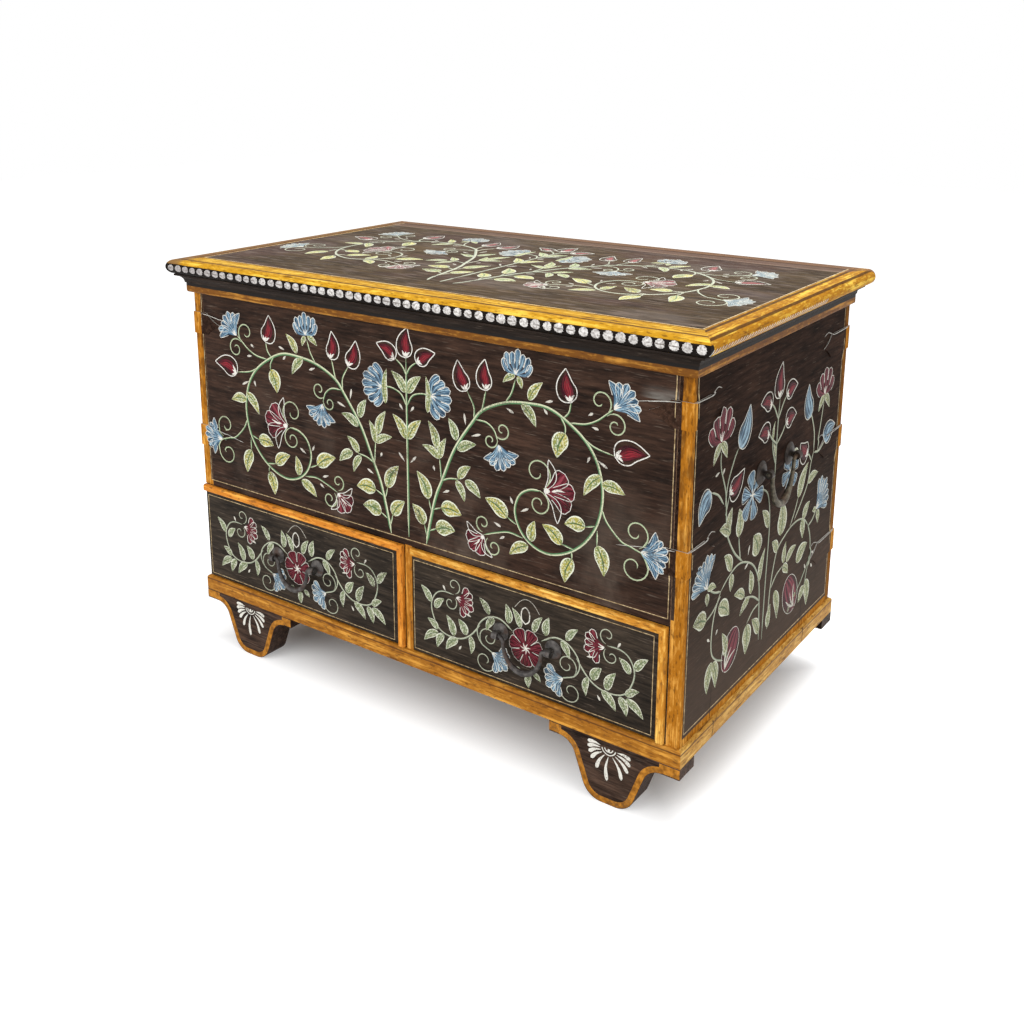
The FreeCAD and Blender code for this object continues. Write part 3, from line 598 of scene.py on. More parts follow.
def strap_paint():
    """Dark paint like the boards', ochre round the corner posts, pale where the surface faces up: rubbed
    metal and a painted highlight.
    """
    finish = Finish("strap_paint", roughness=0.6, specular=0.012)
    dark, _ = dark_coat(finish, "y", *MAROON)
    on_end = finish.zone(finish.y, FRONT + STRAP_THICK, BACK + STRAP_THICK)
    # The straps on the ends share that gradient of dust and painted shade.
    dark = finish.mix(finish.times(dust_and_rim_shade(finish), on_end), dark, DUST)
    ochre, _ = ochre_coat(finish, "z")
    outward = finish.sum("ABSOLUTE", finish.x)
    corner = finish.times(finish.zone(finish.y, -FAR, FRONT + POST_DEPTH),
                          finish.zone(outward, END - POST_WIDTH, FAR))
    back = finish.zone(finish.y, BACK - STRAP_BACK_STRIPE, BACK + STRAP_THICK)
    colour = finish.mix(finish.larger(corner, back), dark, ochre)
    facing = finish.add("NewGeometry").outputs["Normal"]
    upward = finish.add("SeparateXYZ", {0: facing}).outputs[2]
    # Faces that look up turn pale: rubbed metal, and a painted highlight along the straps' top edges.
    colour = finish.mix(finish.rise(upward, 0.4, 0.9), colour, RUBBED_METAL_AND_HIGHLIGHT, 0.85)
    finish.bump(finish.noise((60, 60, 60), detail=3), 0.8 * MM)
    return finish.done(colour)


print("iron ready")

# %% [markdown]
# Now each solid gets its coat. A table of finishes and of the beginnings of names keeps this short: a
# node gets the finish of the row that its name starts with, and bare wood if there is none.

# %% Dressing the solids
DRAWER_DARK = (0.0080, 0.0062, 0.0048), (0.052, 0.038, 0.027)
MOULDING_DARK = BLACK, (0.030, 0.020, 0.015)
FOOT_DARK = MAROON[0], (0.105, 0.062, 0.043)
BASE_FRONT_OCHRE = (0.28, 0.105, 0.009), (0.58, 0.27, 0.04)
# The rail's ends get a lighter copy of the front's ochre: painted light on the sides.
BASE_SIDE_LIT_OCHRE = (0.40, 0.195, 0.030), (0.70, 0.44, 0.120)
BASE_LINES = [(BASE_TOP - 7 * MM, BASE_TOP - 4.5 * MM)]
BAND_OCHRE = (0.140, 0.050, 0.005), (0.44, 0.20, 0.030)
BAND_BLACK = [(RIM - 6 * MM, FAR)]
BEAD_OCHRE = (0.46, 0.190, 0.020), (0.85, 0.52, 0.12)
ORANGE_BEAD_OCHRE = (0.50, 0.170, 0.016), (0.80, 0.36, 0.06)

DRESS = [
    (front_board(), "front_panel"),
    (end_board(), "left_end_panel right_end_panel"),
    (lid_board(), "lid_front_board lid_rear_board"),
    (dark_board("drawer_front_paint", *DRAWER_DARK, inside_front), "left_drawer_front right_drawer_front"),
    (dark_board("black_moulding_paint", *MOULDING_DARK), "lid_moulding"),
    (dark_board("foot_paint", *FOOT_DARK), "foot base_rail_back"),
    (ochre_rail("base_front_paint", "x", *BASE_FRONT_OCHRE, BASE_LINES), "base_rail_front"),
    (ochre_rail("base_side_lit_paint", "y", *BASE_SIDE_LIT_OCHRE, BASE_LINES), "base_rail_left base_rail_right"),
    (ochre_rail("band_along_x", "x", *BAND_OCHRE, black=BAND_BLACK), "top_band_front"),
    (ochre_rail("band_along_y", "y", *BAND_OCHRE, black=BAND_BLACK), "top_band_left top_band_right"),
    (ochre_rail("orange_bead_along_x", "x", *ORANGE_BEAD_OCHRE), "left_drawer_top_bead"),
    (ochre_rail("orange_bead_along_z", "z", *ORANGE_BEAD_OCHRE), "left_drawer_end_bead"),
    (ochre_rail("bead_along_x", "x", *BEAD_OCHRE), "right_drawer_top_bead"),
    (ochre_rail("bead_along_z", "z", *BEAD_OCHRE), "right_drawer_end_bead"),
    (ochre_rail("ochre_along_z", "z"), "drawer_divider"),
    (strap_paint(), "front_corner_straps back_corner_straps"),
    (iron("forged_iron", *FORGED),
     "hinge left_drawer_pull right_drawer_pull left_drawer_bail right_drawer_bail"),
    (iron("handle_iron", *HANDLE), "left_handle_bail right_handle_bail"),
    (iron("handle_plate_iron", *PLATE), "left_handle_posts right_handle_posts"),
    (bare_board("bare_along_y", "y"),
     "left_drawer_left left_drawer_right right_drawer_left right_drawer_right drawer_runners "
     "lid_left_batten lid_right_batten"),
]
bare_wood = bare_board("bare_along_x", "x")
for name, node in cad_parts.items():
    fitting = (finish for finish, starts in DRESS if name.startswith(tuple(starts.split())))
    node.data.materials.clear()
    node.data.materials.append(next(fitting, bare_wood))
print("dressed", len(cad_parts), "solids")

# %% [markdown]
# ## The painter's kit
# A brush leaves a raised, rounded ridge of paint. We could paint a picture and wrap it round the chest,
# but a picture goes soft close up and shows no thickness. Here each stroke is a narrow sheet: a path, a
# width along it, and a low dome across it, whose edges dip just under the wood. A face also knows where
# the iron straps lie, because strokes climb over them.

# %% Faces to paint on
Face = collections.namedtuple("Face", "name body origin right up straps")
X_AXIS, Y_AXIS, Z_AXIS = np.eye(3)
MIDDLE = (FRONT + BACK) / 2
HALF_WIDTH, HALF_DEPTH = round(END / MM), round((BACK - FRONT) / 2 / MM)
# The straps: their height, how high their feet lie over the base rail, how far they reach from a corner
STRAP_HEIGHT = 40
NEAR_STRAP_FEET, REAR_STRAP_FEET = (265, 480), (98, 296, 476)
FRONT_STRAP_REACH, NEAR_STRAP_REACH, REAR_STRAP_REACH = 68, 88, 118


def strap(corner, reach, foot):
    """The patch that a strap covers: from a corner inward by reach, and up from its foot."""
    return (*sorted((corner, corner + reach)), foot, foot + STRAP_HEIGHT)


FRONT_STRAPS = [strap(side * HALF_WIDTH, -side * FRONT_STRAP_REACH, foot)
                for side in (-1, 1) for foot in NEAR_STRAP_FEET]
END_STRAPS = [strap(-HALF_DEPTH, NEAR_STRAP_REACH, foot) for foot in NEAR_STRAP_FEET]
END_STRAPS += [strap(HALF_DEPTH, -REAR_STRAP_REACH, foot) for foot in REAR_STRAP_FEET]
MIRRORED_STRAPS = [(-u1, -u0, v0, v1) for u0, u1, v0, v1 in END_STRAPS]


def drawer_face(side):
    """The front of a drawer, measured from under the middle of its pull."""
    pull_low, pull_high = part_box(side + "_drawer_bail")
    origin = ((pull_low.x + pull_high.x) / 2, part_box(side + "_drawer_front")[0].y, BASE_TOP)
    return Face(side + "_drawer", side + "_drawer", origin, X_AXIS, Z_AXIS, [])


front_face = Face("front", "carcass", (0, FRONT, BASE_TOP), X_AXIS, Z_AXIS, FRONT_STRAPS)
right_face = Face("right_end", "carcass", (END, MIDDLE, BASE_TOP), Y_AXIS, Z_AXIS, END_STRAPS)
left_face = Face("left_end", "carcass", (-END, MIDDLE, BASE_TOP), -Y_AXIS, Z_AXIS, MIRRORED_STRAPS)
lid_face = Face("lid", "lid", (0, 0, LID_TOP), X_AXIS, Y_AXIS, [])
drawer_faces = [drawer_face(side) for side in ("left", "right")]
print("faces:", [face.name for face in (front_face, right_face, left_face, lid_face, *drawer_faces)])

# %% [markdown]
# A stroke starts as a few points that the painter's hand passes through. A smooth curve is drawn through
# them, and the sheet is that curve widened to both sides.

# %% Paths and ribbons


def smooth_path(points, steps=6):
    """A curve through the points: each span a cubic whose slope at a point is half its neighbours' gap."""
    points = np.asarray(points, float)
    ends = np.vstack([2 * points[0] - points[1], points, 2 * points[-1] - points[-2]])
    a, b, c, d = ends[:-3], ends[1:-2], ends[2:-1], ends[3:]
    t = np.linspace(0, 1, steps, endpoint=False)[:, None, None]
    square = a - 2.5 * b + 2 * c - d / 2
    cube = 1.5 * (b - c) + (d - a) / 2
    spans = b + (c - a) * t / 2 + square * t**2 + cube * t**3
    return np.vstack([spans.transpose(1, 0, 2).reshape(-1, 2), points[-1:]])


def across(path):
    """The direction square to the path, on its left, at each point."""
    step = np.gradient(path, axis=0)
    step /= np.maximum(np.linalg.norm(step, axis=1, keepdims=True), 1e-9)
    return np.stack([-step[:, 1], step[:, 0]], axis=1)


def ribbon(path, half_width, columns=5):
    """A grid of points: the path plus s times the half width to its left, with s from 1 to -1."""
    s = np.linspace(1, -1, columns)[None, :, None]
    half_width = np.broadcast_to(np.asarray(half_width, float), len(path))
    return path[:, None] + s * (half_width[:, None] * across(path))[:, None]


def tapered(count, start, end):
    """Half widths from start to end, drawn in to a rounded tip at both ends."""
    t = np.linspace(0, 1, count)
    return (start + (end - start) * t) * np.clip(np.minimum(t, 1 - t) * count / 2, 0.3, 1)


print("a ribbon of two points:", ribbon(smooth_path([(0, 0), (10, 0)]), 2).shape)

# %% [markdown]
# Strokes are gathered by face and by paint, so that each face needs only one piece per paint. With every
# point goes a note of where it lies on its stroke: how far along, how far across, and a tint. The paints
# read that note.

# %% Laying strokes on a face
STRAP_LIFT = 2.0              # how far a stroke climbs over a strap
EDGE_SINK = 0.12              # how far a stroke's edges dip into the wood
strokes = collections.defaultdict(list)
faces_painted = {}


def lay(face, paint, grid, tint=0.5, crown=0.4, lift=0.0):
    """Adds a grid of points to a face: a dome crown high across the stroke, lifted over the iron straps."""
    rows, columns = grid.shape[:2]
    t, s = np.meshgrid(np.linspace(0, 1, rows), np.linspace(1, -1, columns), indexing="ij")
    height = lift + crown * (1 - s**2) - EDGE_SINK * s**2
    u, v = grid[..., 0], grid[..., 1]
    for u0, u1, v0, v1 in face.straps:
        height = height + STRAP_LIFT * ((u > u0) & (u < u1) & (v > v0) & (v < v1))
    note = np.stack([t, s, np.full_like(t, tint)], axis=-1)
    faces_painted[face.name] = face
    strokes[face.name, paint].append((grid, height, note))


def laid(part):
    """How many strokes lie on the faces whose names hold a part."""
    return sum(len(batch) for (name, _), batch in strokes.items() if part in name)


print("ready to lay strokes")

# %% [markdown]
# When every stroke is laid, each batch becomes one mesh. The points of all its sheets are computed as
# whole arrays and joined, and the piece is tied to the body that carries the face, so that the paint on
# the lid rises with the lid.


def sheet_faces(rows, columns, start):
    """The four corners of every cell of a grid whose first point has the number start."""
    number = start + np.arange(rows * columns).reshape(rows, columns)
    cells = [number[:-1, 1:], number[1:, 1:], number[1:, :-1], number[:-1, :-1]]
    return np.stack(cells, axis=-1).reshape(-1, 4)


def new_piece(name, points, faces, material, body, note):
    """A smooth mesh from whole arrays of points, faces and notes, dressed and tied to a body."""
    mesh = bpy.data.meshes.new(name)
    mesh.from_pydata(points, [], faces)
    mesh.polygons.foreach_set("use_smooth", np.full(len(mesh.polygons), True))
    attribute = mesh.attributes.new("stroke", "FLOAT_VECTOR", "POINT")
    attribute.data.foreach_set("vector", np.ascontiguousarray(note, np.float32).ravel())
    mesh.materials.append(material)
    piece = bpy.data.objects.new(name, mesh)
    bpy.context.scene.collection.objects.link(piece)
    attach(piece, body)


def build_strokes(face_paints, usual):
    """Makes one piece of each face and paint; a face without paints of its own gets the usual ones."""
    for (name, paint), batch in strokes.items():
        face = faces_painted[name]
        outward = np.cross(face.right, face.up)
        points, cells, notes, start = [], [], [], 0
        for grid, height, note in batch:
            flat = grid[..., :1] * face.right + grid[..., 1:] * face.up + height[..., None] * outward
            points.append((np.array(face.origin) + flat * MM).reshape(-1, 3))
            notes.append(note.reshape(-1, 3))
            cells.append(sheet_faces(*height.shape, start))
            start += height.size
        material = face_paints.get(name, usual)[paint]
        piece = name + "_" + paint + "_strokes"
        new_piece(piece, np.vstack(points), np.vstack(cells).tolist(), material, face.body, np.vstack(notes))
        print(piece, len(batch), "strokes")


# %% [markdown]
# ## The painter's vocabulary
# The whole garden is built from a few motifs repeated by hand: stem, leaf, comma, curl, bell flower,
# lotus and bud. Each motif takes points of the design, asks a `place` where they go on this face, and
# lays its strokes. A place can shift, stretch and mirror, so half a design is enough for both halves of a
# panel.

# %% Places


class Place:
    """Where a design goes on a face: mirrored or not, stretched, then shifted, all in millimetres."""

    def __init__(self, face, shift=(0, 0), stretch=(1, 1), mirror=False):
        self.face = face
        self.shift = np.array(shift, float)
        self.stretch = np.array(stretch, float) * ((-1, 1) if mirror else (1, 1))
        self.turn = -1 if mirror else 1

    def __call__(self, points):
        """Points of the design as points on the face: times the stretch, plus the shift."""
        return np.asarray(points, float) * self.stretch + self.shift

    def toward(self, base, degrees, length):
        """The place of the point that lies length away from base in a direction of the design."""
        angle = math.radians(degrees)
        return self((base[0] + length * math.cos(angle), base[1] + length * math.sin(angle)))


print("a mirrored place:", Place(front_face, mirror=True)((10, 5)))

# %% [markdown]
# The simplest strokes come first. A stem is one long pull of the brush, a curl winds in on itself, and a
# comma is a single press. All three are ribbons; only the path and the width along it differ.

# %% Stems, curls and commas
CURL_TURN = 7.4               # radians for a curl of one turn, a little over a full circle


def rays(angle):
    """Arrows of length one at these angles."""
    return np.stack([np.cos(angle), np.sin(angle)], axis=-1)


def stem(place, points, start, end):
    """A ribbon along a smooth path, its half width tapering from start to end, in two-tone paint."""
    path = smooth_path(place(points))
    lay(place.face, "stem", ribbon(path, tapered(len(path), start, end)), tint=place.turn, crown=0.3)


def curl(place, start, centre, turns, width=1.5):
    """A tendril: from its start round its centre, the radius shrinking evenly to a fifth."""
    start, centre = place(start), place(centre)
    arm = start - centre
    t = np.linspace(0, 1, 26)
    angle = math.atan2(arm[1], arm[0]) + place.turn * turns * CURL_TURN * t
    radius = np.hypot(*arm) * (1 - 0.8 * t)
    path = centre + radius[:, None] * rays(angle)
    lay(place.face, "stem", ribbon(path, tapered(len(path), width, width * 0.8)), tint=0.1, crown=0.3)


def comma(place, start, end, width=4.5):
    """A single press of the brush: a drop that swells toward its end."""
    path = smooth_path(place([start, end]), 9)
    t = np.linspace(0, 1, len(path))
    lay(place.face, "white", ribbon(path, 0.2 + width / 2 * np.sin(np.pi * t**1.4) ** 0.8), tint=0.3)


print("motifs: stem, curl, comma")

# %% [markdown]
# Leaves and petals are broad ribbons on a path that bows to one side. A leaf is widest below its middle
# and ends in a point; a petal is widest near its tip and ends round. The painter went round the petals
# with a thin white line. It could be a colour on a petal's rim, but real paint lies on top of other
# paint, so here the line is one more ribbon, along the petal's edge.

# %% Leaves and petals


def quarter_turn(arm):
    """The arm turned a quarter of a circle to its left."""
    return np.array([-arm[1], arm[0]])


def bowed(base, tip, bow, steps):
    """A smooth path from base to tip whose middle lies to the left by bow times its length."""
    base, tip = np.asarray(base, float), np.asarray(tip, float)
    return smooth_path([base, (base + tip) / 2 + bow * quarter_turn(tip - base), tip], steps)


def blade(base, tip, width, bow=0.08, swell=0.72):
    """A leaf shape: a bowed path from base to tip, with a half width that follows a skewed sine."""
    path = bowed(base, tip, bow, 9)
    t = np.linspace(0, 1, len(path))
    return ribbon(path, 0.25 + width / 2 * np.sin(np.pi * t**swell) ** 0.9)


def petal(base, tip, width, bend):
    """A petal: narrow at its base, widest near its tip and rounded there; bend curves it sideways."""
    path = bowed(base, tip, -bend, 8)
    t = np.linspace(0, 1, len(path))
    rounding = np.sqrt(np.clip(1 - ((t - 0.72) / 0.28).clip(0) ** 2, 0, 1))
    return ribbon(path, 0.3 + width / 2 * t**0.85 * rounding)


def outline(face, grid, line, tint, start=0):
    """A white line round the edge of a shape from its row start on: up its left side, down its right."""
    edge = np.vstack([grid[start:, 0], grid[:start - 1 if start else None:-1, -1]])
    lay(face, "white", ribbon(edge, line / 2, 3), tint, crown=0.25, lift=0.35)


def touch(face, base, tip, width, tint=0.8, lift=0.5):
    """A thin white stroke on top of a petal, from base to tip."""
    lay(face, "white", blade(base, tip, width), tint, crown=0.3, lift=lift)


def leaf(place, base, tip, width, yellow):
    """A leaf bowed to the side that its tip leans to."""
    base, tip = place(base), place(tip)
    bow = 0.09 * np.sign(tip[0] - base[0] + 0.01)
    lay(place.face, "leaf", blade(base, tip, width, bow), tint=yellow, crown=0.45)


print("motifs: leaf, petal, outline, touch")

# %% [markdown]
# Open flowers are petals fanned from one point. In a bell they open to one side, and some bells have a
# horn curling out at each end. A lotus has three broad petals between two empty ones. A rosette is seen
# from the front, with petals all round. Petals that lie over others are lifted a little, so that no two
# sheets share a surface.

# %% Open flowers
HORN_ANGLE = 22               # degrees outside the fan
LOTUS_SPREAD, LOTUS_OUTER = 34, 72
ROSETTE_START = 15            # degrees


def bell(place, paint, base, direction, spread, length, count, flare=0.16, horns=False):
    """A bell: petals fanned to both sides of a direction, bent by flare and outlined; horns curl outside."""
    start = place(base)
    for share in (-1, 1) if horns else ():
        tip = place.toward(base, direction + (spread + HORN_ANGLE) * share, length * 0.92)
        shape = blade(start, tip, length * 0.34, -0.22 * share * place.turn, 1.1)
        lay(place.face, paint, shape)
        outline(place.face, shape, 1.1, 0.7, len(shape) // 2)
    shares = np.linspace(-1, 1, count)
    width = 2.5 * length * math.sin(math.radians(spread) / count)
    for share in shares[np.argsort(-np.abs(shares))]:
        reach = length * (1 - 0.10 * abs(share)) * (1 + 0.05 * math.cos(9 * share + length))
        tip = place.toward(base, direction + spread * share, reach)
        shape = petal(start, tip, width, flare * share * place.turn)
        lay(place.face, paint, shape, tint=0.5 + 0.5 * share, lift=0.12 * (1 - abs(share)))
        outline(place.face, shape, 1.2, 0.8, len(shape) // 2)
    for share in (-0.5, 0.0, 0.5):
        tip = place.toward(base, direction + spread * share, length * 0.3)
        touch(place.face, start, tip, length * 0.05, lift=0.4)


def lotus(place, base, direction, length):
    """A lotus: three filled petals, and two thin ones that curve away and are only outlined."""
    start = place(base)
    for share in (-1, 1):
        tip = place.toward(base, direction + LOTUS_OUTER * share, length * 0.95)
        outline(place.face, blade(start, tip, length * 0.26, -0.20 * share * place.turn, 1.2), 1.4, 0.9)
    for share in (-1, 1, 0):
        tip = place.toward(base, direction + LOTUS_SPREAD * share, length * (1 if share == 0 else 0.92))
        shape = petal(start, tip, length * 0.62, 0.06 * share * place.turn)
        lay(place.face, "red", shape, tint=0.5 + 0.3 * share, lift=0.1 * (share == 0))
        outline(place.face, shape, 1.2, 0.8, len(shape) // 3)
    foot, tip = (place.toward(base, direction, length * reach) for reach in (0.25, 0.7))
    lay(place.face, "white", blade(foot, tip, length * 0.07), tint=0.7, crown=0.2, lift=0.5)
    heart = blade(start, place.toward(base, direction, length * 0.2), length * 0.16)
    lay(place.face, "white", heart, tint=0.8, crown=0.5, lift=0.45)


def rosette(place, paint, centre, radius, count, fullness):
    """A flower seen from the front: outlined petals round a centre, with white touches on their feet."""
    for number in range(count):
        turn = ROSETTE_START + 360 * number / count
        reach = radius * (1 + 0.08 * math.sin(2.3 * turn))
        foot = place.toward(centre, turn, radius * 0.06)
        shape = petal(foot, place.toward(centre, turn, reach), radius * fullness, 0.0)
        lay(place.face, paint, shape, lift=0.15 * (number % 2))
        outline(place.face, shape, 0.8, 0.7, len(shape) // 3)
        touch(place.face, place(centre), place.toward(centre, turn, radius * 0.3), radius * 0.05)


print("flowers: bell, lotus, rosette")

# %% [markdown]
# Closed flowers are one broad shape each. The red bud has a dark heart with a flame in it, inside a white
# teardrop; the blue one is a single petal; the egg is a plump oval with pale strokes rising from its
# foot.

# %% Closed flowers
BUD_SWELL = 0.62


def bud(place, base, tip, width, fill=0.76):
    """A bud: a white teardrop line, a dark heart with a flame in it, and three white touches at its foot."""
    base, tip = place(base), place(tip)
    along, bow = tip - base, 0.10 * place.turn
    outline(place.face, blade(base, tip, width, bow, BUD_SWELL), 1.7, 0.9)
    heart = blade(base + 0.10 * along, base + 0.90 * along, width * fill, bow, BUD_SWELL)
    lay(place.face, "wine", heart, tint=0.4)
    flame = blade(base + 0.16 * along, base + 0.80 * along, width * 0.42, bow, 0.7)
    lay(place.face, "flame", flame, tint=0.4, crown=0.3, lift=0.25)
    for shift in (-0.16, 0.0, 0.16):
        end = base + 0.22 * along + shift * quarter_turn(along)
        touch(place.face, base + 0.04 * along, end, width * 0.11, lift=0.45)


def blue_bud(place, base, tip, width):
    """A closed blue flower: one broad petal with a white edge."""
    shape = blade(place(base), place(tip), width, 0.12 * place.turn, BUD_SWELL)
    lay(place.face, "blue", shape, tint=0.4)
    outline(place.face, shape, 1.5, 0.8)


def egg(place, base, tip, width):
    """A plump closed flower: an oval, its edge in white and three pale strokes up from its foot."""
    base, tip = place(base), place(tip)
    along = tip - base
    angle = np.linspace(0.06, np.pi - 0.06, 13)
    shape = ribbon(base + (1 - np.cos(angle))[:, None] / 2 * along, width / 2 * np.sin(angle))
    lay(place.face, "red", shape, tint=0.4, crown=0.5)
    outline(place.face, shape, 1.2, 0.7)
    for shift in (-0.24, 0.0, 0.24):
        end = base + 0.55 * along + shift * quarter_turn(along)
        touch(place.face, base + 0.06 * along, end, width * 0.07, tint=0.4)


print("closed flowers: bud, blue bud, egg")

# %% [markdown]
# ## The garden on the front
# A tall stem stands in the middle. From its foot a branch on each side arches up, over and down into a
# spiral, with leaves in pairs, bell flowers and buds along it. The design is written for the right half,
# in millimetres from the middle of the front and from the top of the base rail.

# %% The front design
FRONT_BRANCH = [
    (37, 200), (45, 238), (57, 285), (72, 320), (96, 374), (130, 423), (152, 448), (195, 467), (242, 473),
    (272, 471), (302, 457), (332, 435), (352, 408), (362, 375), (363, 345), (355, 310), (336, 279),
    (310, 257), (280, 245), (255, 246), (233, 257), (218, 275), (211, 300), (219, 325), (237, 338),
    (258, 341),
]
FRONT_TWIGS = [
    [(134, 430), (134, 450), (121, 473)], [(148, 442), (152, 458), (157, 481)],
    [(193, 467), (204, 484), (211, 506)], [(296, 461), (305, 472), (308, 487)],
    [(290, 463), (298, 450), (299, 438)], [(305, 456), (332, 459), (352, 468), (366, 479), (378, 489)],
    [(328, 438), (350, 427), (382, 421)], [(362, 338), (372, 318), (395, 296), (412, 291), (427, 286)],
    [(138, 430), (158, 429), (172, 419), (179, 402)], [(226, 258), (200, 261), (175, 254), (152, 245)],
    [(70, 316), (85, 323), (104, 326)], [(69, 318), (68, 335), (66, 354)], [(52, 263), (68, 270)],
    [(45, 225), (58, 232)], [(39, 212), (33, 234)], [(48, 260), (43, 279)], [(352, 308), (336, 303)],
    [(356, 302), (356, 278)], [(318, 262), (296, 266)], [(313, 258), (314, 246)], [(214, 277), (197, 285)],
    [(0, 478), (8, 492), (22, 503)], [(1, 428), (12, 446), (31, 453), (50, 452)],
]
# Foot, tip, width and how yellow
FRONT_LEAVES = [
    (68, 270, 109, 267, 31, .8), (57, 231, 96, 237, 31, .4), (33, 233, 8, 263, 27, .6),
    (43, 279, 19, 322, 27, .45), (103, 327, 127, 352, 18, .3), (116, 326, 146, 304, 20, .2),
    (98, 323, 115, 291, 16, .2), (67, 353, 79, 389, 15, .3), (61, 368, 44, 411, 19, .35),
    (66, 353, 31, 369, 16, .25), (99, 389, 84, 423, 19, .15), (102, 374, 138, 390, 19, .15),
    (235, 478, 259, 509, 18, .6), (222, 471, 248, 439, 19, .2), (299, 439, 285, 399, 32, .9),
    (361, 387, 332, 351, 21, .5), (362, 374, 400, 367, 22, .5), (336, 303, 300, 299, 28, .8),
    (356, 279, 369, 234, 28, .6), (296, 265, 261, 289, 26, .85), (314, 247, 302, 206, 27, .8),
    (242, 256, 247, 291, 20, .6), (236, 248, 201, 225, 22, .6), (197, 284, 155, 307, 30, .85),
    (2, 449, 30, 481, 20, .2), (2, 372, 29, 409, 21, .6), (43, 424, 40, 483, 17, .3),
    (210, 512, 188, 498, 12, .4), (214, 511, 222, 493, 11, .4),
]
# Start and end
FRONT_COMMAS = [
    (118, 418, 115, 436), (129, 402, 147, 408), (194, 459, 208, 453), (264, 480, 277, 484),
    (261, 470, 268, 462), (337, 473, 345, 478), (343, 457, 355, 455), (337, 402, 341, 412),
    (354, 409, 371, 400), (202, 320, 207, 309), (222, 300, 236, 308), (172, 271, 185, 266),
    (183, 246, 192, 252), (56, 330, 53, 338), (72, 297, 85, 303), (8, 420, 15, 429), (6, 333, 18, 346),
]
# Start, centre and turns
FRONT_CURLS = [
    (366, 479, 356, 497, .9), (368, 478, 382, 465, -1.1), (425, 292, 419, 314, 1.0),
    (413, 290, 417, 262, -1.1), (150, 249, 151, 264, -1.0), (160, 242, 171, 229, 1.1),
    (178, 405, 165, 402, -1.0), (175, 412, 187, 422, 1.0), (262, 345, 251, 369, 1.0),
    (255, 341, 254, 320, -1.1),
]
# Foot, direction and spread in degrees, length, petals, flare, and whether it has horns
FRONT_BELLS = [
    (212, 513, 85, 50, 38, 7, -0.25, False), (379, 489, 45, 36, 46, 5, 0.10, True),
    (428, 287, 2, 34, 46, 5, 0.10, True), (180, 398, -75, 38, 42, 5, 0.10, True),
    (50, 452, 0, 64, 42, 7, -0.20, False),
]
# Foot, tip and width
FRONT_BUDS = [
    (120, 473, 103, 519, 30), (158, 480, 155, 528, 28), (308, 487, 298, 536, 34), (382, 421, 437, 433, 36),
    (22, 502, 59, 523, 27),
]
# Foot, direction in degrees and length
FRONT_LOTUSES = [(264, 342, 10, 54), (152, 243, -135, 38)]
print("front design:", len(FRONT_LEAVES), "leaves and", len(FRONT_TWIGS), "twigs for each half")

# %% [markdown]
# Planting goes from back to front, as painting does: stems first, then leaves, and flowers last. The left
# half of the real front is a little wider than the right, so the mirrored half is stretched.

# %% Planting the front
LEFT_STRETCH = (1.035, 1)
MIDDLE_STEM = [(0, 203), (0, 300), (0, 400), (0, 508)]
MIDDLE_BUD = (0, 507), (3, 556), 32
# Half widths of the stems, at the start and at the end
BRANCH_WIDTHS, TWIG_WIDTHS, MIDDLE_WIDTHS = (3.4, 2.2), (1.9, 1.5), (3.0, 2.0)


def repeat(motif, place, rows, *style):
    """Lays a motif for each row of a table: two points and what else the row says, then the style."""
    for u, v, to_u, to_v, *rest in rows:
        motif(place, (u, v), (to_u, to_v), *rest, *style)


def plant_front(place):
    """One half of the front design."""
    stem(place, FRONT_BRANCH, *BRANCH_WIDTHS)
    for points in FRONT_TWIGS:
        stem(place, points, *TWIG_WIDTHS)
    repeat(leaf, place, FRONT_LEAVES)
    repeat(comma, place, FRONT_COMMAS)
    repeat(curl, place, FRONT_CURLS)
    for u, v, *shape in FRONT_BELLS:
        bell(place, "blue", (u, v), *shape)
    repeat(bud, place, FRONT_BUDS)
    for u, v, *shape in FRONT_LOTUSES:
        lotus(place, (u, v), *shape)


def plant_middle(place):
    """The straight stem in the middle of the design, with the bud on top."""
    stem(place, MIDDLE_STEM, *MIDDLE_WIDTHS)
    bud(place, *MIDDLE_BUD)


plant_front(Place(front_face))
plant_front(Place(front_face, stretch=LEFT_STRETCH, mirror=True))
plant_middle(Place(front_face))
print("front:", laid("front"), "strokes")

# %% [markdown]
# The lid repeats the same garden, laid flat and a little larger. Three short stems join at its foot,
# because on the lid the whole plant shows down to the root.

# %% The lid
GARDEN_MIDDLE = 355           # the height that comes to lie in the middle of the lid
LID_STRETCH = (1.02, 1.08)
LID_SHIFT = (0, -LID_STRETCH[1] * GARDEN_MIDDLE)
ROOT_STEM = np.array([(26, -203), (33, -186), (38, -164)])
ROOT_WIDTHS = 2.6, 2.8

for mirror in (False, True):
    plant_front(Place(lid_face, LID_SHIFT, LID_STRETCH, mirror))
plant_middle(Place(lid_face, LID_SHIFT, LID_STRETCH))
for side in (-1, 0, 1):
    stem(Place(lid_face), ROOT_STEM * (side, 1), *ROOT_WIDTHS)
print("lid:", laid("lid"), "strokes")

# %% [markdown]
# ## The drawers
# Round each pull grows a crimson rosette, with a wavy branch to each side. The design is again one half,
# written from the middle of the pull outward. Its rows read as the front's do, but all leaves are green.

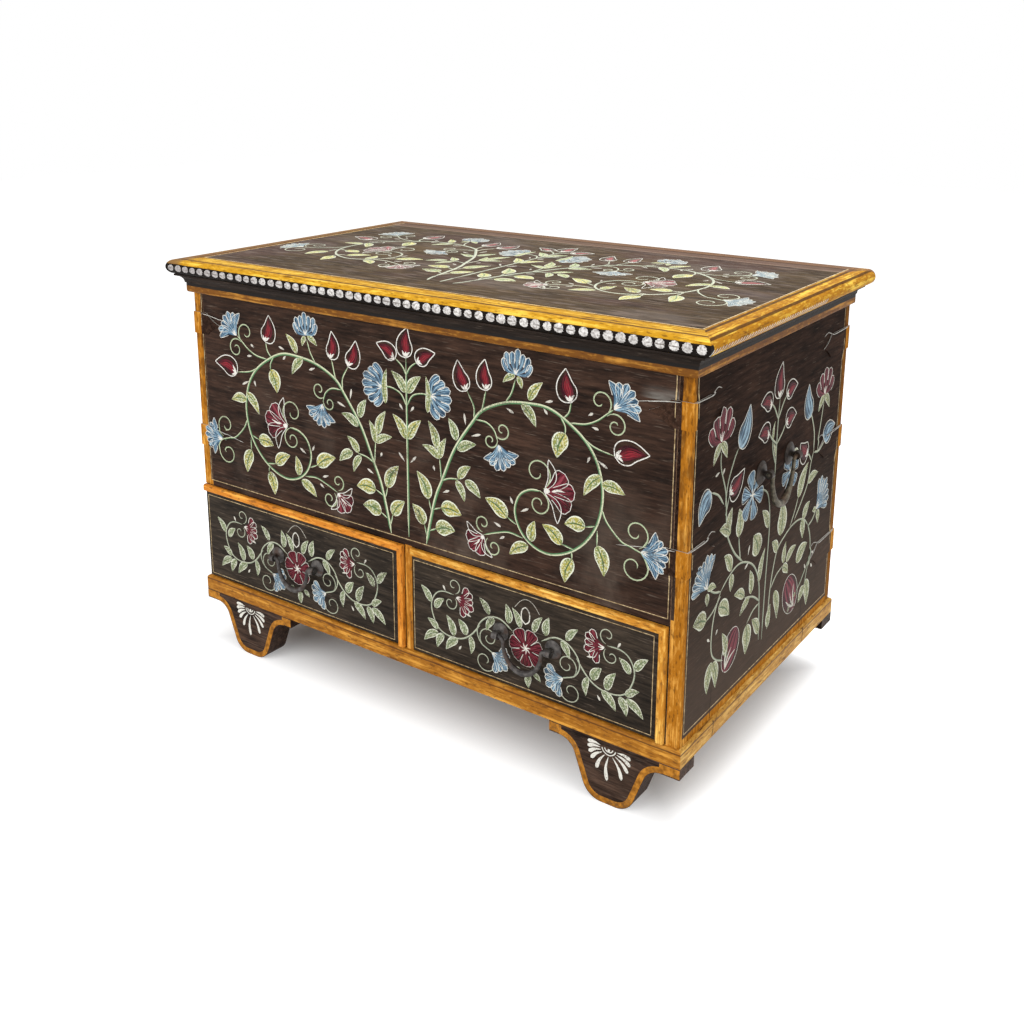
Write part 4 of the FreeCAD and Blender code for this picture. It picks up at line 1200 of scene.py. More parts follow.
# %% The drawer design
DRAWER_BRANCHES = [
    [(27, 97), (50, 110), (72, 108), (90, 93), (96, 75), (88, 58), (72, 50), (66, 48)],
    [(90, 88), (110, 64), (130, 52), (155, 50), (175, 58), (187, 80), (189, 100), (180, 118), (165, 126),
     (143, 126)],
]
DRAWER_LEAVES = [
    (35, 108, 40, 140, 16), (72, 112, 92, 136, 14), (62, 108, 78, 83, 14), (110, 63, 108, 32, 13),
    (118, 62, 134, 86, 18), (143, 53, 158, 86, 17), (135, 50, 160, 24, 17), (165, 50, 178, 22, 16),
    (176, 50, 206, 27, 16), (176, 55, 198, 69, 14), (182, 92, 163, 113, 15), (190, 100, 211, 125, 15),
    (12, 107, 28, 137, 14), (12, 37, 26, 27, 10),
]
DRAWER_CURLS = [
    (86, 57, 73, 71, 1.1), (68, 48, 81, 29, 1.1), (140, 128, 143, 142, -.9), (140, 120, 150, 110, .9),
]
DRAWER_COMMAS = [(108, 97, 118, 100), (128, 40, 133, 32), (160, 128, 165, 137)]
DRAWER_BELLS = [("blue", (67, 47), 205, 55, 36, 6), ("red", (138, 122), 190, 55, 36, 6)]
DRAWER_ROSETTE = (-2, 75), 32, 7, 0.88
FOOT_LEAF = (5, 32), (4, 9), 14
OVAL_RING = [(-3, 116), (4, 123), (4, 137), (-3, 144), (-10, 137), (-10, 123), (-3, 116)]
DOME_ARC = [(-23, 140), (-12, 153), (0, 158), (12, 153), (23, 140)]
DRAWER_STEM_WIDTHS, DRAWER_CURL, DRAWER_COMMA = (1.7, 1.2), 1.1, 4
DRAWER_YELLOW = 0.1
# Half width and tint of the white lines over the pull
RING_LINE, ARC_LINE = (1.2, 0.7), (0.5, 0.2)


def plant_drawer(face):
    """Both halves of a drawer's design, and what stands in its middle."""
    for mirror in (False, True):
        place = Place(face, mirror=mirror)
        for points in DRAWER_BRANCHES:
            stem(place, points, *DRAWER_STEM_WIDTHS)
        repeat(leaf, place, DRAWER_LEAVES, DRAWER_YELLOW)
        repeat(curl, place, DRAWER_CURLS, DRAWER_CURL)
        repeat(comma, place, DRAWER_COMMAS, DRAWER_COMMA)
        for shape in DRAWER_BELLS:
            bell(place, *shape)
    place = Place(face)
    rosette(place, "red", *DRAWER_ROSETTE)
    for points, (half_width, tint) in ((OVAL_RING, RING_LINE), (DOME_ARC, ARC_LINE)):
        lay(face, "white", ribbon(smooth_path(points), half_width, 3), tint)
    leaf(place, *FOOT_LEAF, DRAWER_YELLOW)


for face in drawer_faces:
    plant_drawer(face)
print("drawers:", laid("drawer"), "strokes")

# %% [markdown]
# ## The ends
# On the ends a bouquet grows from one root. Its two halves are cousins and not twins: the half toward the
# back is lower and looser. Each half is written from the middle of the end outward, the front half first.
# The crown and the fan are bells: foot, direction and spread in degrees, length. The egg has a foot, a
# tip and a width, and the rosette a centre and a radius.

# %% The end design, front half
Bouquet = collections.namedtuple("Bouquet", "stems leaves commas red_buds blue_buds crown fan egg rosette")
NEAR_HALF = Bouquet(
    stems=[
        [(28, 55), (33, 110), (40, 160), (62, 195), (95, 215), (128, 222), (160, 214), (185, 201)],
        [(185, 201), (205, 207), (225, 218)],
        [(185, 201), (203, 172), (210, 140), (207, 110), (190, 92), (165, 80)],
        [(185, 193), (210, 178), (232, 172)],
        [(110, 222), (140, 245), (165, 275), (175, 295), (180, 330), (186, 360), (205, 400), (207, 425)],
        [(185, 335), (178, 370), (160, 400), (148, 413)], [(190, 340), (210, 360), (235, 372)],
        [(182, 320), (172, 347)], [(118, 225), (125, 250), (129, 268)],
        [(15, 50), (13, 150), (10, 250), (22, 300), (45, 318), (62, 322)],
        [(33, 125), (60, 143), (95, 155)], [(35, 122), (58, 118), (80, 105)],
        [(0, 420), (15, 440), (28, 452)], [(0, 380), (20, 393), (32, 405)],
        [(0, 345), (14, 372), (18, 392)], [(0, 320), (1, 400), (-2, 455)],
    ],
    leaves=[
        (160, 285, 200, 303, 24), (170, 290, 158, 325, 24), (130, 268, 132, 315, 32),
        (150, 222, 178, 255, 24), (150, 215, 150, 187, 20), (232, 222, 202, 215, 14),
        (235, 215, 230, 195, 16), (232, 172, 275, 182, 34), (190, 178, 150, 150, 32),
        (95, 158, 135, 175, 20), (70, 152, 78, 195, 22), (75, 148, 110, 130, 18), (82, 103, 80, 52, 38),
        (30, 68, 60, 103, 24), (40, 160, 22, 213, 20), (50, 212, 72, 250, 44), (14, 245, 42, 282, 22),
        (205, 95, 218, 48, 28), (200, 92, 188, 45, 26), (150, 62, 172, 128, 28), (208, 438, 232, 410, 18),
        (208, 438, 186, 410, 18), (16, 392, 12, 420, 9), (2, 360, 14, 385, 8),
    ],
    commas=[
        (210, 395, 223, 392), (198, 388, 192, 396), (215, 133, 225, 140), (195, 135, 190, 142),
        (90, 225, 85, 240), (85, 212, 100, 205),
    ],
    red_buds=[(172, 348, 122, 375, 38), (28, 452, 73, 462, 30), (32, 405, 75, 412, 32)],
    blue_buds=[(145, 414, 112, 472, 42), (235, 372, 270, 333, 38)],
    crown=((208, 440), 90, 56, 52),
    fan=((232, 224), 58, 50, 58),
    egg=((160, 58), (118, 116), 58),
    rosette=((86, 322), 40),
)
print("front half:", len(NEAR_HALF.stems), "stems,", len(NEAR_HALF.leaves), "leaves")

# %% [markdown]
# The half toward the back has fewer stems, and its flowers sit closer to the middle.

# %% The end design, back half
FAR_HALF = Bouquet(
    stems=[
        [(5, 60), (8, 120), (15, 155), (30, 190), (60, 205), (90, 213), (120, 213), (145, 205), (165, 188)],
        [(165, 186), (185, 192), (200, 205)],
        [(165, 188), (178, 165), (183, 140), (180, 120), (172, 95), (166, 72)],
        [(80, 214), (98, 236), (110, 258)], [(98, 220), (125, 243), (150, 270), (158, 300), (168, 322)],
        [(168, 322), (165, 355), (150, 385), (144, 390)], [(180, 320), (192, 360), (203, 408)],
        [(170, 318), (190, 318), (212, 328)], [(158, 308), (148, 320), (140, 323)],
        [(12, 130), (32, 145), (58, 152)], [(0, 420), (15, 440), (28, 452)],
        [(0, 380), (20, 393), (32, 405)], [(180, 120), (150, 92), (128, 78)],
    ],
    leaves=[
        (110, 255, 146, 308, 32), (150, 270, 196, 276, 20), (40, 212, 38, 272, 44), (30, 188, 6, 212, 22),
        (62, 156, 67, 192, 20), (72, 154, 114, 170, 20), (58, 150, 84, 130, 20), (138, 208, 166, 232, 24),
        (132, 208, 142, 172, 24), (120, 135, 166, 156, 34), (8, 62, 14, 102, 22), (28, 118, 46, 62, 26),
        (166, 74, 142, 52, 24), (170, 84, 182, 32, 30), (203, 412, 178, 388, 18), (205, 412, 230, 384, 18),
        (200, 205, 182, 208, 12), (205, 203, 212, 176, 18), (126, 78, 92, 52, 26), (75, 345, 100, 332, 18),
    ],
    commas=[(185, 110, 193, 102), (160, 118, 165, 108), (186, 132, 194, 128)],
    red_buds=[(140, 323, 104, 352, 38), (28, 452, 73, 462, 30), (32, 405, 75, 412, 32)],
    blue_buds=[(143, 389, 126, 448, 38), (211, 328, 264, 346, 36)],
    crown=((203, 414), 90, 56, 48),
    fan=((200, 206), 38, 46, 62),
    egg=((122, 52), (78, 118), 62),
    rosette=((66, 316), 34),
)
print("back half:", len(FAR_HALF.stems), "stems,", len(FAR_HALF.leaves), "leaves")

# %% [markdown]
# The same two halves serve both ends. Seen from outside, the front of the chest lies to the left on the
# right end and to the right on the left end, so the halves change sides.

# %% Planting the ends
END_MIDDLE = (3, 0)
END_TOP_BUD = (0, 455), (5, 512), 38
END_BUD_FILL = 0.84
END_STEM_WIDTHS, END_COMMA = (2.4, 1.8), 5
END_YELLOW = 0.25


def plant_half(place, half):
    """One half of the bouquet on an end."""
    for points in half.stems:
        stem(place, points, *END_STEM_WIDTHS)
    repeat(leaf, place, half.leaves, END_YELLOW)
    repeat(comma, place, half.commas, END_COMMA)
    repeat(bud, place, half.red_buds, END_BUD_FILL)
    repeat(blue_bud, place, half.blue_buds)
    bell(place, "red", *half.crown, count=5, flare=-0.18)
    bell(place, "blue", *half.fan, count=8, flare=0.05)
    egg(place, *half.egg)
    rosette(place, "blue", *half.rosette, count=6, fullness=0.84)


for face in (right_face, left_face):
    front_is_left = face is right_face
    plant_half(Place(face, END_MIDDLE, mirror=front_is_left), NEAR_HALF)
    plant_half(Place(face, END_MIDDLE, mirror=not front_is_left), FAR_HALF)
    bud(Place(face, END_MIDDLE), *END_TOP_BUD, END_BUD_FILL)
print("ends:", laid("end"), "strokes")

# %% [markdown]
# ## Ruled lines
# Thin cream lines frame every panel. They were drawn along a straight edge, so each is a plain ribbon,
# cut into short steps so that it can climb over the straps.

# %% Lines round the panels
PANEL_TOP = (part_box("top_band_front")[0].z - BASE_TOP) / MM
RULE_STEP = 20
# Left, right and foot of each frame of lines
FRONT_FRAME = -482, 474, 198
RIGHT_END_FRAME, LEFT_END_FRAME = (-287, 280, 17), (-280, 287, 17)
DRAWER_FRAMES = [(-495, -36, 6), (9, 454, 6)]
DRAWER_LINE_TOP = 165
LID_LINE_X = LID_HIGH.x / MM - 40
LID_FRAME = -LID_LINE_X, LID_LINE_X, (LID_LOW.y + LID_FRONT_BORDER) / MM + 1
LID_LINE_BACK = 300
FRONT_LINE, END_LINE, DRAWER_LINE, LID_LINE = 2.0, 3.0, 1.8, 3.2     # widths


def rule(face, start, end, width, paint="cream"):
    """A straight ribbon from start to end, in steps of about RULE_STEP."""
    start, end = np.array(start, float), np.array(end, float)
    steps = 2 + int(np.hypot(*(end - start)) / RULE_STEP)
    path = start + (end - start) * np.linspace(0, 1, steps)[:, None]
    lay(face, paint, ribbon(path, width / 2, 3), crown=0.2)


def frame_lines(face, left, right, foot, top, width, paint="cream"):
    """Three ruled lines: down on the left, along the foot, and up on the right."""
    corners = [(left, top), (left, foot), (right, foot), (right, top)]
    for start, end in zip(corners[:-1], corners[1:]):
        rule(face, start, end, width, paint)


frame_lines(front_face, *FRONT_FRAME, PANEL_TOP, FRONT_LINE)
frame_lines(right_face, *RIGHT_END_FRAME, PANEL_TOP, END_LINE)
frame_lines(left_face, *LEFT_END_FRAME, PANEL_TOP, END_LINE)
for face, (left, right, foot) in zip(drawer_faces, DRAWER_FRAMES):
    middle = face.origin[0] / MM
    frame_lines(face, left - middle, right - middle, foot, DRAWER_LINE_TOP, DRAWER_LINE)
    rule(face, (right - middle, DRAWER_LINE_TOP), (left - middle, DRAWER_LINE_TOP), DRAWER_LINE)
frame_lines(lid_face, *LID_FRAME, LID_LINE_BACK, LID_LINE, "lid_line")
print("ruled lines on", len(faces_painted), "faces")

# %% [markdown]
# ## The feet
# Each front foot has an ochre band along its curved edge. The band follows the foot's outline: a flat,
# two lobes, two flanks, two hollows and the shoulders. The outline is worked out from its arcs, and
# moving it inward is only a matter of a smaller or larger radius.

# %% Foot borders
FOOT_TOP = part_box("foot_front_right")[1].z
SHOULDER = 18 * MM            # height of the foot's shoulders
FLAT_HALF = 12.0
LOBE_RADIUS, HOLLOW_RADIUS = 34.0, 30.0
FLANK_ANGLE = math.radians(70)
FOOT_BAND = 11.0
BAND_LAP = 4                  # how far the shoulders' bands run under the curved one


def foot_outline(inset):
    """Half a foot's edge moved in by inset: a smaller arc for a lobe, then a larger one for a hollow."""
    shoulder = (FOOT_TOP - SHOULDER) / MM
    lobe = np.linspace(0, FLANK_ANGLE, 9)
    lobe_u = FLAT_HALF + (LOBE_RADIUS - inset) * np.sin(lobe)
    lobe_v = LOBE_RADIUS - (LOBE_RADIUS - inset) * np.cos(lobe)
    rise = (LOBE_RADIUS + HOLLOW_RADIUS) * (1 - math.cos(FLANK_ANGLE))
    hollow_u = FLAT_HALF + (LOBE_RADIUS + HOLLOW_RADIUS) * math.sin(FLANK_ANGLE)
    hollow_u += (shoulder - rise) / math.tan(FLANK_ANGLE)
    turn = FLANK_ANGLE - lobe
    curve_u = hollow_u - (HOLLOW_RADIUS + inset) * np.sin(turn)
    curve_v = shoulder - HOLLOW_RADIUS + (HOLLOW_RADIUS + inset) * np.cos(turn)
    return np.stack([np.append(lobe_u, curve_u), np.append(lobe_v, curve_v)], axis=1), hollow_u


def foot_band(face, right, left):
    """The ochre band: along the edge at half its width inside, then out along both shoulders."""
    half, hollow = foot_outline(FOOT_BAND / 2)
    shoulder = (FOOT_TOP - SHOULDER / 2) / MM
    path = np.vstack([half[::-1] * (-1, 1), half])
    lay(face, "ochre", ribbon(path, FOOT_BAND / 2), crown=0.5)
    for start, end in ((hollow - BAND_LAP, right), (-left, BAND_LAP - hollow)):
        shelf = np.stack([np.linspace(start, end, 5), np.full(5, shoulder)], axis=1)
        lay(face, "ochre", ribbon(shelf, SHOULDER / MM / 2), crown=0.3)


print("half an outline:", len(foot_outline(0)[0]), "points")

# %% [markdown]
# In the dark middle of a front foot hangs half a daisy: an eye of two rings just under the rail, and ten
# petals that grow longer toward the middle. Their angles and lengths are uneven, as the painter's are.

# %% Half daisies
EYE_RADIUS, EYE_DROP = 12.0, 9.0
EYE_DOT, EYE_DOT_DROP = 5, 4
EYE_ARC = math.pi * 1.06, math.pi * 1.94
DAISY_TURNS = np.radians([180, 193, 207, 222, 243, 268, 297, 318, 335, 350])
DAISY_REACH = np.array([37, 38, 39, 41, 46, 56, 51, 45, 41, 38])
DAISY_START, DAISY_WIDTH = 15, 8.5
SHOULDER_OUT, SHOULDER_IN = 29, 18           # lengths of a foot's shoulders
FOOT_OVERHANG = 6 * MM


def dot(face, centre, width):
    """A round touch of white: a ribbon whose half width follows a circle."""
    angle = np.linspace(0.02, np.pi - 0.02, 9)
    path = centre + np.stack([0 * angle, -np.cos(angle) * width / 2], axis=1)
    lay(face, "white", ribbon(path, width / 2 * np.sin(angle)), 1.0, 0.6)


def half_daisy(face):
    """An eye of two rings just under the rail and ten petals that hang from it, longest in the middle."""
    eye = np.array([0, FOOT_TOP / MM - EYE_DROP])
    for radius in (EYE_RADIUS, EYE_RADIUS * 0.6):
        path = eye + radius * rays(np.linspace(*EYE_ARC, 15))
        lay(face, "white", ribbon(path, 1.2, 3), 0.9, crown=0.3)
    dot(face, eye - (0, EYE_DOT_DROP), EYE_DOT)
    for ray, reach in zip(rays(DAISY_TURNS), DAISY_REACH):
        shape = petal(eye + DAISY_START * ray, eye + reach * ray, DAISY_WIDTH, -0.08 * np.sign(ray[0]))
        lay(face, "white", shape, 0.95)


hollow = foot_outline(0)[1]
outer, inner = hollow + SHOULDER_OUT, hollow + SHOULDER_IN
lobe_x = END + FOOT_OVERHANG - outer * MM
for end, x, right, left in (("left", -lobe_x, inner, outer), ("right", lobe_x, outer, inner)):
    face_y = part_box("foot_front_" + end)[0].y
    face = Face("foot_" + end, "carcass", (x, face_y, 0), X_AXIS, Z_AXIS, [])
    foot_band(face, right, left)
    half_daisy(face)
print("feet painted, lobe at", round(lobe_x, 4))

# %% [markdown]
# ## Painted highlights and wear
# The straps are painted over, and along their top edges runs a pale line, a painted highlight where light
# catches them. On the ends it finishes in a curl, where the iron was forged to a point; on the front it
# slopes down under a pale smudge. Two old cracks run up from the base rail at the right end.

# %% Painted highlights on the strap edges
STRAP_CURL = [(0, -1), (30, -2), (56, -2), (66, 2), (76, 5), (88, 1)]
STRAP_SLOPE = [(18, -2), (40, -4), (65, -8), (92, -13), (112, -16)]
REAR_STRETCH = 1.3


def strap_highlight_line(face, corner, away, foot, shape=STRAP_CURL, width=1.3):
    """A pale line along the top edge of a strap, a painted highlight, from a corner inward, away times as
    long as its shape.
    """
    path = smooth_path(np.array(shape) * (away, 1) + (corner, foot + STRAP_HEIGHT), 7)
    lay(face, "pale", ribbon(path, tapered(len(path), width, 0.6 * width), 3), crown=0.3)


for foot in NEAR_STRAP_FEET:
    strap_highlight_line(right_face, -HALF_DEPTH, 1, foot)
    strap_highlight_line(left_face, HALF_DEPTH, -1, foot)
    for side in (-1, 1):
        strap_highlight_line(front_face, side * HALF_WIDTH, -side, foot, STRAP_SLOPE, 0.9)
for foot in REAR_STRAP_FEET:
    strap_highlight_line(right_face, HALF_DEPTH, -REAR_STRETCH, foot)
    strap_highlight_line(left_face, -HALF_DEPTH, REAR_STRETCH, foot)
print("strap edges on", sum(paint == "pale" for _, paint in strokes), "faces")

# %% [markdown]
# A crack is a thin dark line, drawn like any other stroke: it wanders a little, starts at the foot of the
# board and thins out as it climbs. A second line takes it on down the base rail, which stands a little
# farther out.

# %% Cracks
# Place along the right end, and height
CRACKS = [(-199, 52), (161, 110)]
BASE_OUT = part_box("base_rail_right")[1].x
base_face = Face("base_right", "carcass", (BASE_OUT, MIDDLE, BASE_TOP), Y_AXIS, Z_AXIS, [])


def crack(along, height):
    """A wandering line up the end board from its foot, and one down the base rail below it."""
    wander = [(along, 1), (along - 1.5, height * 0.4), (along + 1, height * 0.7), (along, height)]
    path = smooth_path(wander, 7)
    lay(right_face, "crack", ribbon(path, tapered(len(path), 1.6, 0.6), 3), crown=0.25)
    path = smooth_path([(along - 2, -27), (along + 1, -14), (along, -1)], 6)
    lay(base_face, "crack", ribbon(path, 1.5, 3), crown=0.25)


for along, height in CRACKS:
    crack(along, height)
print("cracks:", len(CRACKS))

# %% [markdown]
# ## The paints
# Most paints read the note that each stroke carries, so one paint serves every stroke of its kind,
# whichever way the stroke runs. Two things come up again and again: tiny specks of the ground show
# through where the paint has flaked, and colours fade toward a dusty cream.

# %% Reading the note
Note = collections.namedtuple("Note", "all along aside tint edge")
GROUND = (0.05, 0.035, 0.028)
DUSTY_CREAM = (0.60, 0.60, 0.50)
PAINT_SHINE = 0.06


def paint_note(finish):
    """The note of the stroke: how far along, how far across from -1 to 1, its tint, and how near an edge."""
    note = finish.add("Attribute", attribute_name="stroke").outputs["Vector"]
    along, aside, tint = finish.add("SeparateXYZ", {0: note}).outputs
    return Note(note, along, aside, tint, finish.sum("ABSOLUTE", aside))


def flaked(finish, colour, amount=0.5):
    """The paint with specks of the ground where a fine noise is high, and more of them in worn patches."""
    worn = finish.patches((14, 14, 14), 0.54, 0.68, detail=2)
    level = finish.sum("ADD", finish.noise((520, 520, 520), detail=3), finish.times(worn, 0.12))
    return finish.mix(finish.rise(level, 0.56, 0.66), colour, GROUND, amount)


def faded(colour, fade, shade=1.0):
    """A colour on its way to a dusty cream, and then darkened or lightened by a shade."""
    return tuple(shade * (c + (dust - c) * fade) for c, dust in zip(colour, DUSTY_CREAM))


print("faded black:", faded((0, 0, 0), 0.5))

# %% [markdown]
# A stem has a dark green side and a pale one. A leaf is not one green either: it has a cream edge, a dark
# midrib, a wet wash of deeper green, and a touch of yellow that differs from leaf to leaf.

# %% Stem and leaf paint
STEM_DARK, STEM_PALE = (0.045, 0.15, 0.055), (0.47, 0.50, 0.33)
LEAF_COLOURS = (0.24, 0.29, 0.15), (0.58, 0.48, 0.07), (0.16, 0.23, 0.08), (0.09, 0.16, 0.06)
LEAF_CREAM = (0.64, 0.66, 0.53)


def stem_paint(fade, shade):
    """Dark on one side of the stroke and pale on the other; the tint says which side is which."""
    finish = Finish("stem_paint", roughness=0.55, specular=PAINT_SHINE)
    note = paint_note(finish)
    lit = finish.rise(finish.times(note.aside, note.tint), -0.25, 0.15)
    colour = finish.mix(lit, faded(STEM_DARK, fade, shade), faded(STEM_PALE, fade, shade))
    return finish.done(flaked(finish, colour))


def leaf_paint(fade, shade):
    """Leaf paint: a green or yellow body with a wet wash and pale stipple, a dark vein and a cream edge."""
    finish = Finish("leaf_paint", roughness=0.55, specular=PAINT_SHINE)
    note = paint_note(finish)
    green, gold, wet, vein = (faded(colour, fade * 0.25, shade) for colour in LEAF_COLOURS)
    cream = faded(LEAF_CREAM, fade)
    body = finish.mix(note.tint, green, gold)
    wash = finish.noise((2.2, 1.6, 6.0), vector=note.all)
    body = finish.mix(finish.rise(wash, 0.42, 0.66), body, wet)
    body = finish.mix(finish.patches((330, 330, 330), 0.49, 0.58, detail=2), body, cream, 0.6)
    body = finish.mix(finish.rise(note.edge, 0.12, 0.05), body, vein)
    colour = finish.mix(finish.rise(note.edge, 0.64, 0.77), body, cream)
    return finish.done(flaked(finish, colour, 0.7))


print("stem and leaf paint ready")

# %% [markdown]
# Petals are streaked along their length by a noise that is laid on the note instead of on the chest, so
# the streaks run with the petal. They are pale at the base and deep along their seams. White lines are
# plain, but some are greyer than others.

# %% Petal, white and plain paint
GREY_WHITE, FULL_WHITE = (0.44, 0.41, 0.35), (0.66, 0.64, 0.59)


def petal_paint(name, fade, shade, deep, middle, pale):
    """Petal paint: streaked along its length, deep along its seams up to the tip, and pale at the base."""
    finish = Finish(name, specular=PAINT_SHINE)
    note = paint_note(finish)
    deep, middle, pale = (faded(colour, fade, shade) for colour in (deep, middle, pale))
    streak = finish.noise((1.5, 5.0, 7.0), detail=3, vector=note.all)
    colour = finish.ramp(streak, (0.42, *deep), (0.50, *middle), (0.61, *pale))
    seam = finish.times(finish.rise(note.edge, 0.55, 0.9), finish.rise(note.along, 0.85, 0.6))
    colour = finish.mix(seam, colour, deep, 0.8)
    colour = finish.mix(finish.rise(note.along, 0.22, 0.04), colour, pale, 0.6)
    return finish.done(flaked(finish, colour))


def white_paint(fade):
    """White that is as full as the tint says."""
    finish = Finish("white_paint", roughness=0.6, specular=PAINT_SHINE)
    body = paint_note(finish).tint
    colour = finish.mix(body, faded(GREY_WHITE, fade), faded(FULL_WHITE, fade))
    return finish.done(flaked(finish, colour, 0.6))


def plain_paint(name, deep, light):
    """One colour, mottled from deep to light."""
    finish = Finish(name, roughness=0.55, specular=PAINT_SHINE)
    colour = finish.ramp(finish.noise((130, 130, 130), detail=5), (0.36, *deep), (0.62, *light))
    return finish.done(flaked(finish, colour))


print("petal, white and plain paint ready")

# %% [markdown]
# The garden was painted at one time, but it has not aged alike. The front is freshest, the drawers and
# ends are duller, and the lid is bleached by light. Each set's shade is painted light: it makes the leaves
# and reds darker on the drawers and ends, a painted shade, and lighter on the lid, a painted stronger
# light on the top. So there are three sets of the same paints, and every stroke that was laid above now
# becomes part of a piece.

# %% Three sets of paint
BLUES = (0.012, 0.034, 0.062), (0.058, 0.125, 0.200), (0.34, 0.48, 0.56)
REDS = (0.036, 0.004, 0.007), (0.130, 0.010, 0.021), (0.30, 0.055, 0.075)
WINES = (0.022, 0.003, 0.005), (0.066, 0.006, 0.012), (0.155, 0.015, 0.027)
FLAMES = (0.090, 0.006, 0.011), (0.210, 0.012, 0.022), (0.34, 0.036, 0.048)
PLAIN_PAINTS = {
    "cream": plain_paint("ruled_line_paint", (0.20, 0.13, 0.06), (0.56, 0.43, 0.24)),
    "lid_line": plain_paint("lid_line_paint", (0.42, 0.29, 0.13), (0.78, 0.62, 0.38)),
    "ochre": plain_paint("foot_band_paint", (0.20, 0.075, 0.008), (0.46, 0.19, 0.022)),
    # Pale lines on the strap edges: a painted highlight.
    "pale": plain_paint("strap_highlight_paint", (0.26, 0.25, 0.22), (0.50, 0.48, 0.44)),
    "crack": plain_paint("crack_paint", (0.006, 0.004, 0.003), (0.014, 0.009, 0.007)),
}


def paint_set(fade, shade, dim=1.0, bleach=0.0):
    """Paints that faded alike; shade scales leaves and reds as painted light and shade, dim darkens the
    stems, and bleach pales the petals.
    """
    paints = {
        "stem": stem_paint(fade, dim),
        "leaf": leaf_paint(fade, shade),
        "white": white_paint(fade * 0.5),
        "blue": petal_paint("blue_paint", 0.1 * fade + 2 * bleach, 1.0, *BLUES),
    }
    for name, tones in (("red", REDS), ("wine", WINES), ("flame", FLAMES)):
        paints[name] = petal_paint(name + "_paint", bleach, shade, *tones)
    return paints | PLAIN_PAINTS


# FRESH is for the front; the second set's lower shade is a painted shade on the drawers and ends, and the
# third's higher shade is a painted light on the lid.
FRESH = paint_set(0.05, 0.72)
DULL_AND_SHADED = paint_set(0.50, 0.65, dim=0.75)
BLEACHED_AND_LIT = paint_set(0.65, 1.25, bleach=0.12)
build_strokes({"front": FRESH, "lid": BLEACHED_AND_LIT}, DULL_AND_SHADED)

# %% [markdown]
# ## The row of white dots
# Along the lid's front nose runs a row of white dots as big as coins, set close together on black. Flat
# discs would stand off the nose, which is a half round, so each dot is wrapped on it: up the dot becomes
# round the nose. Toward the left the dots are flatter and grimier.

# %% Dots on the nose
NOSE = (LID_TOP - LID_LOW.z) / 2
DOT_WIDTH, DOT_PITCH = 18.0, 19.7
DOT_CROWN = 0.9
DOT_ANGLE = math.radians(-4)
DOT_TALL = 0.74, 1.0          # height by width of a dot, at the left end and at the right
DOT_SHINE = 0.40, 1.0         # how clean a dot is, at the left end and from near the middle on
DOT_SIDES, DOT_RINGS = 12, (1.0, 0.72, 0.38)


def dot_disc():
    """A domed disc of radius one, rings and a middle point: its height is one minus the radius squared."""
    turn = np.linspace(0, 2 * np.pi, DOT_SIDES + 1)[:-1]
    turn, reach = np.meshgrid(turn, DOT_RINGS, indexing="ij")
    disc = np.stack([reach * np.cos(turn), reach * np.sin(turn), 1 - reach**2], axis=-1).reshape(-1, 3)
    return np.vstack([disc, [0, 0, 1]])


def dot_cells(count):
    """Faces of count discs: quads between the rings, triangles from the last ring to the middle point."""
    rings, middle = len(DOT_RINGS), DOT_SIDES * len(DOT_RINGS)
    first = np.arange(DOT_SIDES) * rings
    after = np.roll(first, -1)
    quads = np.vstack([np.stack([first, after, after + 1, first + 1], axis=1) + k for k in range(rings - 1)])
    caps = np.stack([first + rings - 1, after + rings - 1, np.full(DOT_SIDES, middle)], axis=1)
    starts = np.arange(count)[:, None, None] * (middle + 1)
    return (quads + starts).reshape(-1, 4).tolist() + (caps + starts).reshape(-1, 3).tolist()


def nose_dots():
    """Domed discs on a cylinder: x along the nose, an angle round it, and a height over its radius."""
    count = int((LID_HIGH.x - LID_LOW.x) / MM / DOT_PITCH)
    chance = np.random.default_rng(5)
    centre = (np.arange(count) - (count - 1) / 2) * DOT_PITCH + chance.uniform(-0.8, 0.8, count)
    size = DOT_WIDTH / 2 * chance.uniform(0.9, 1.06, count)
    shine = np.interp(centre, (centre[0], 0.2 * centre[0]), DOT_SHINE) * chance.uniform(0.7, 1.0, count)
    tall = size * np.interp(centre, (centre[0], centre[-1]), DOT_TALL)
    disc = dot_disc()
    along = centre[:, None] + size[:, None] * disc[:, 0]
    angle = DOT_ANGLE + tall[:, None] * disc[:, 1] / (NOSE / MM)
    radius = NOSE / MM + DOT_CROWN * disc[:, 2] - EDGE_SINK
    points = np.stack([along * MM, LID_LOW.y + NOSE - radius * MM * np.cos(angle),
                       LID_TOP - NOSE + radius * MM * np.sin(angle)], axis=-1)
    note = np.tile(disc, (count, 1, 1))
    note[:, :, 2] = shine[:, None]
    return points.reshape(-1, 3), dot_cells(count), note.reshape(-1, 3)


print("a dot has", len(dot_disc()), "points")

# %% [markdown]
# The dots' paint is a clouded white, like worn pearl, with a faint dark seam across the middle of each.
# How clean a dot is comes from its note.

# %% The dots' paint
PEARL_DARK, PEARL, PEARL_PALE = (0.22, 0.20, 0.19), (0.52, 0.50, 0.47), (0.72, 0.70, 0.68)
GRIME, SEAM = (0.15, 0.13, 0.13), (0.10, 0.08, 0.065)


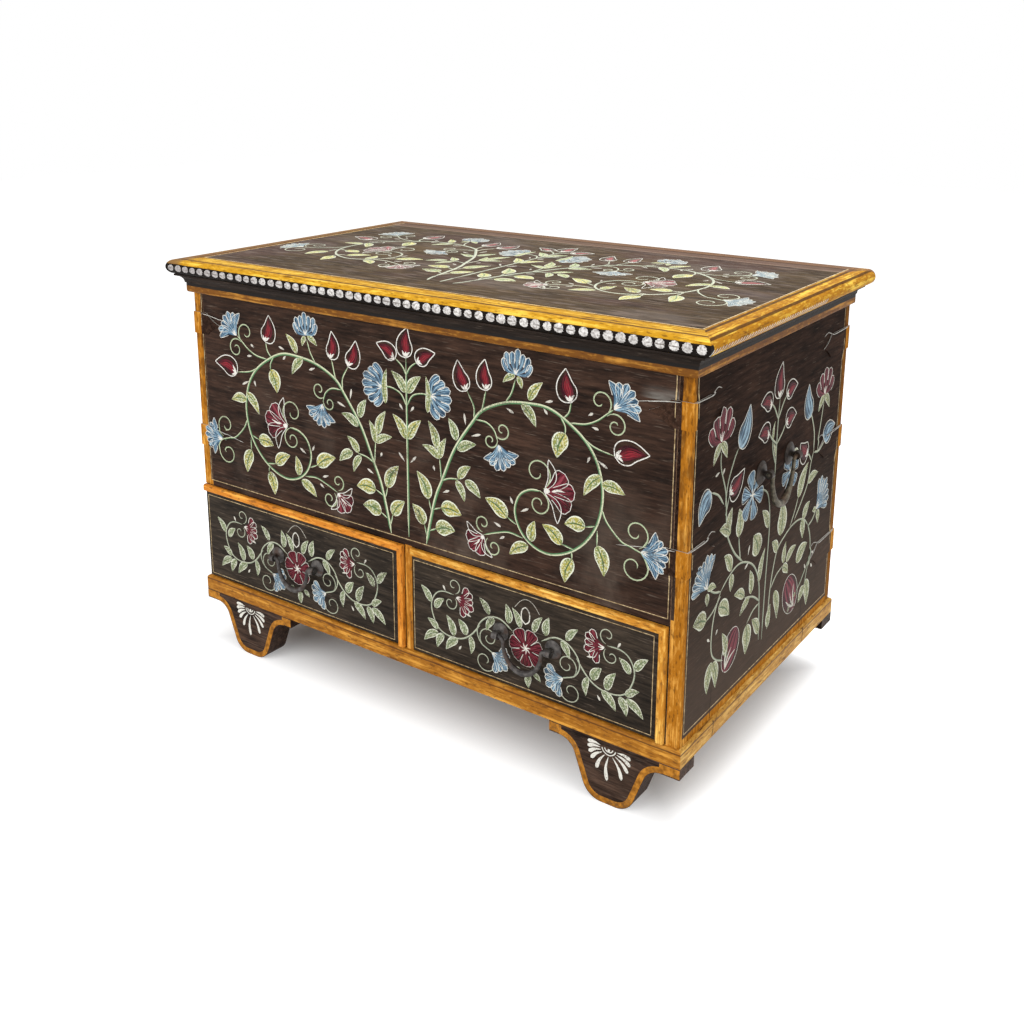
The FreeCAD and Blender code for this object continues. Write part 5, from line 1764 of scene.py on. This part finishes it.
def pearl_paint():
    """Clouded white, grimy where the note says so, with a faint dark seam across the middle of each dot."""
    finish = Finish("pearl_paint", roughness=0.45, specular=0.4)
    note = paint_note(finish)
    cloud = finish.noise((260, 260, 260))
    colour = finish.ramp(cloud, (0.38, *PEARL_DARK), (0.50, *PEARL), (0.66, *PEARL_PALE))
    seam = finish.times(finish.rise(note.edge, 0.16, 0.04), finish.patches((30, 30, 30), 0.44, 0.56))
    colour = finish.mix(seam, colour, SEAM)
    return finish.done(finish.mix(note.tint, GRIME, colour))


dot_points, dot_faces, dot_note = nose_dots()
new_piece("lid_nose_dots", dot_points, dot_faces, pearl_paint(), "lid", dot_note)
print("dots:", len(dot_points) // len(dot_disc()))

# %% [markdown]
# Along the under edge of the right end's nose runs a row of tiny white ticks, like a cord. They are the
# same kind of stroke, wrapped on the other nose.

# %% Ticks on the end nose
TICK_PITCH, TICK_LENGTH, TICK_HALF = 9.5, 11.0, 2.7
TICK_SLANT = 0.7
TICK_CROWN = 0.35
TICK_ANGLE = math.radians(-19)
TICK_START, TICK_END = LID_LOW.y + NOSE / 2, 0.1
TICK_ROWS, TICK_COLUMNS = 4, 3
TICK_NOTE = (0.5, 0.0, 0.9)


def nose_ticks():
    """Small slanted ribbons on the half round of the right end: y along it, an angle round it."""
    centre = np.arange(TICK_START / MM, TICK_END / MM, TICK_PITCH)
    along, aside = np.linspace(-0.5, 0.5, TICK_ROWS), np.linspace(1, -1, TICK_COLUMNS)
    along, aside = np.meshgrid(along, aside, indexing="ij")
    slant = (along * TICK_LENGTH * TICK_SLANT).ravel()
    y = centre[:, None] + slant + aside.ravel() * TICK_HALF
    angle = TICK_ANGLE + slant / (NOSE / MM)
    radius = NOSE / MM + TICK_CROWN * (1 - aside**2).ravel() - EDGE_SINK
    x = np.broadcast_to(LID_HIGH.x - NOSE + radius * MM * np.cos(angle), y.shape)
    z = np.broadcast_to(LID_TOP - NOSE + radius * MM * np.sin(angle), y.shape)
    points = np.stack([x, y * MM, z], axis=-1).reshape(-1, 3)
    starts = np.arange(len(centre)) * TICK_ROWS * TICK_COLUMNS
    cells = np.vstack([sheet_faces(TICK_ROWS, TICK_COLUMNS, start)[:, ::-1] for start in starts])
    return points, cells.tolist(), np.ones((y.size, 3)) * TICK_NOTE


tick_points, tick_cells, tick_note = nose_ticks()
new_piece("lid_nose_ticks", tick_points, tick_cells, FRESH["white"], "lid", tick_note)
print("ticks:", len(tick_points) // (TICK_ROWS * TICK_COLUMNS))
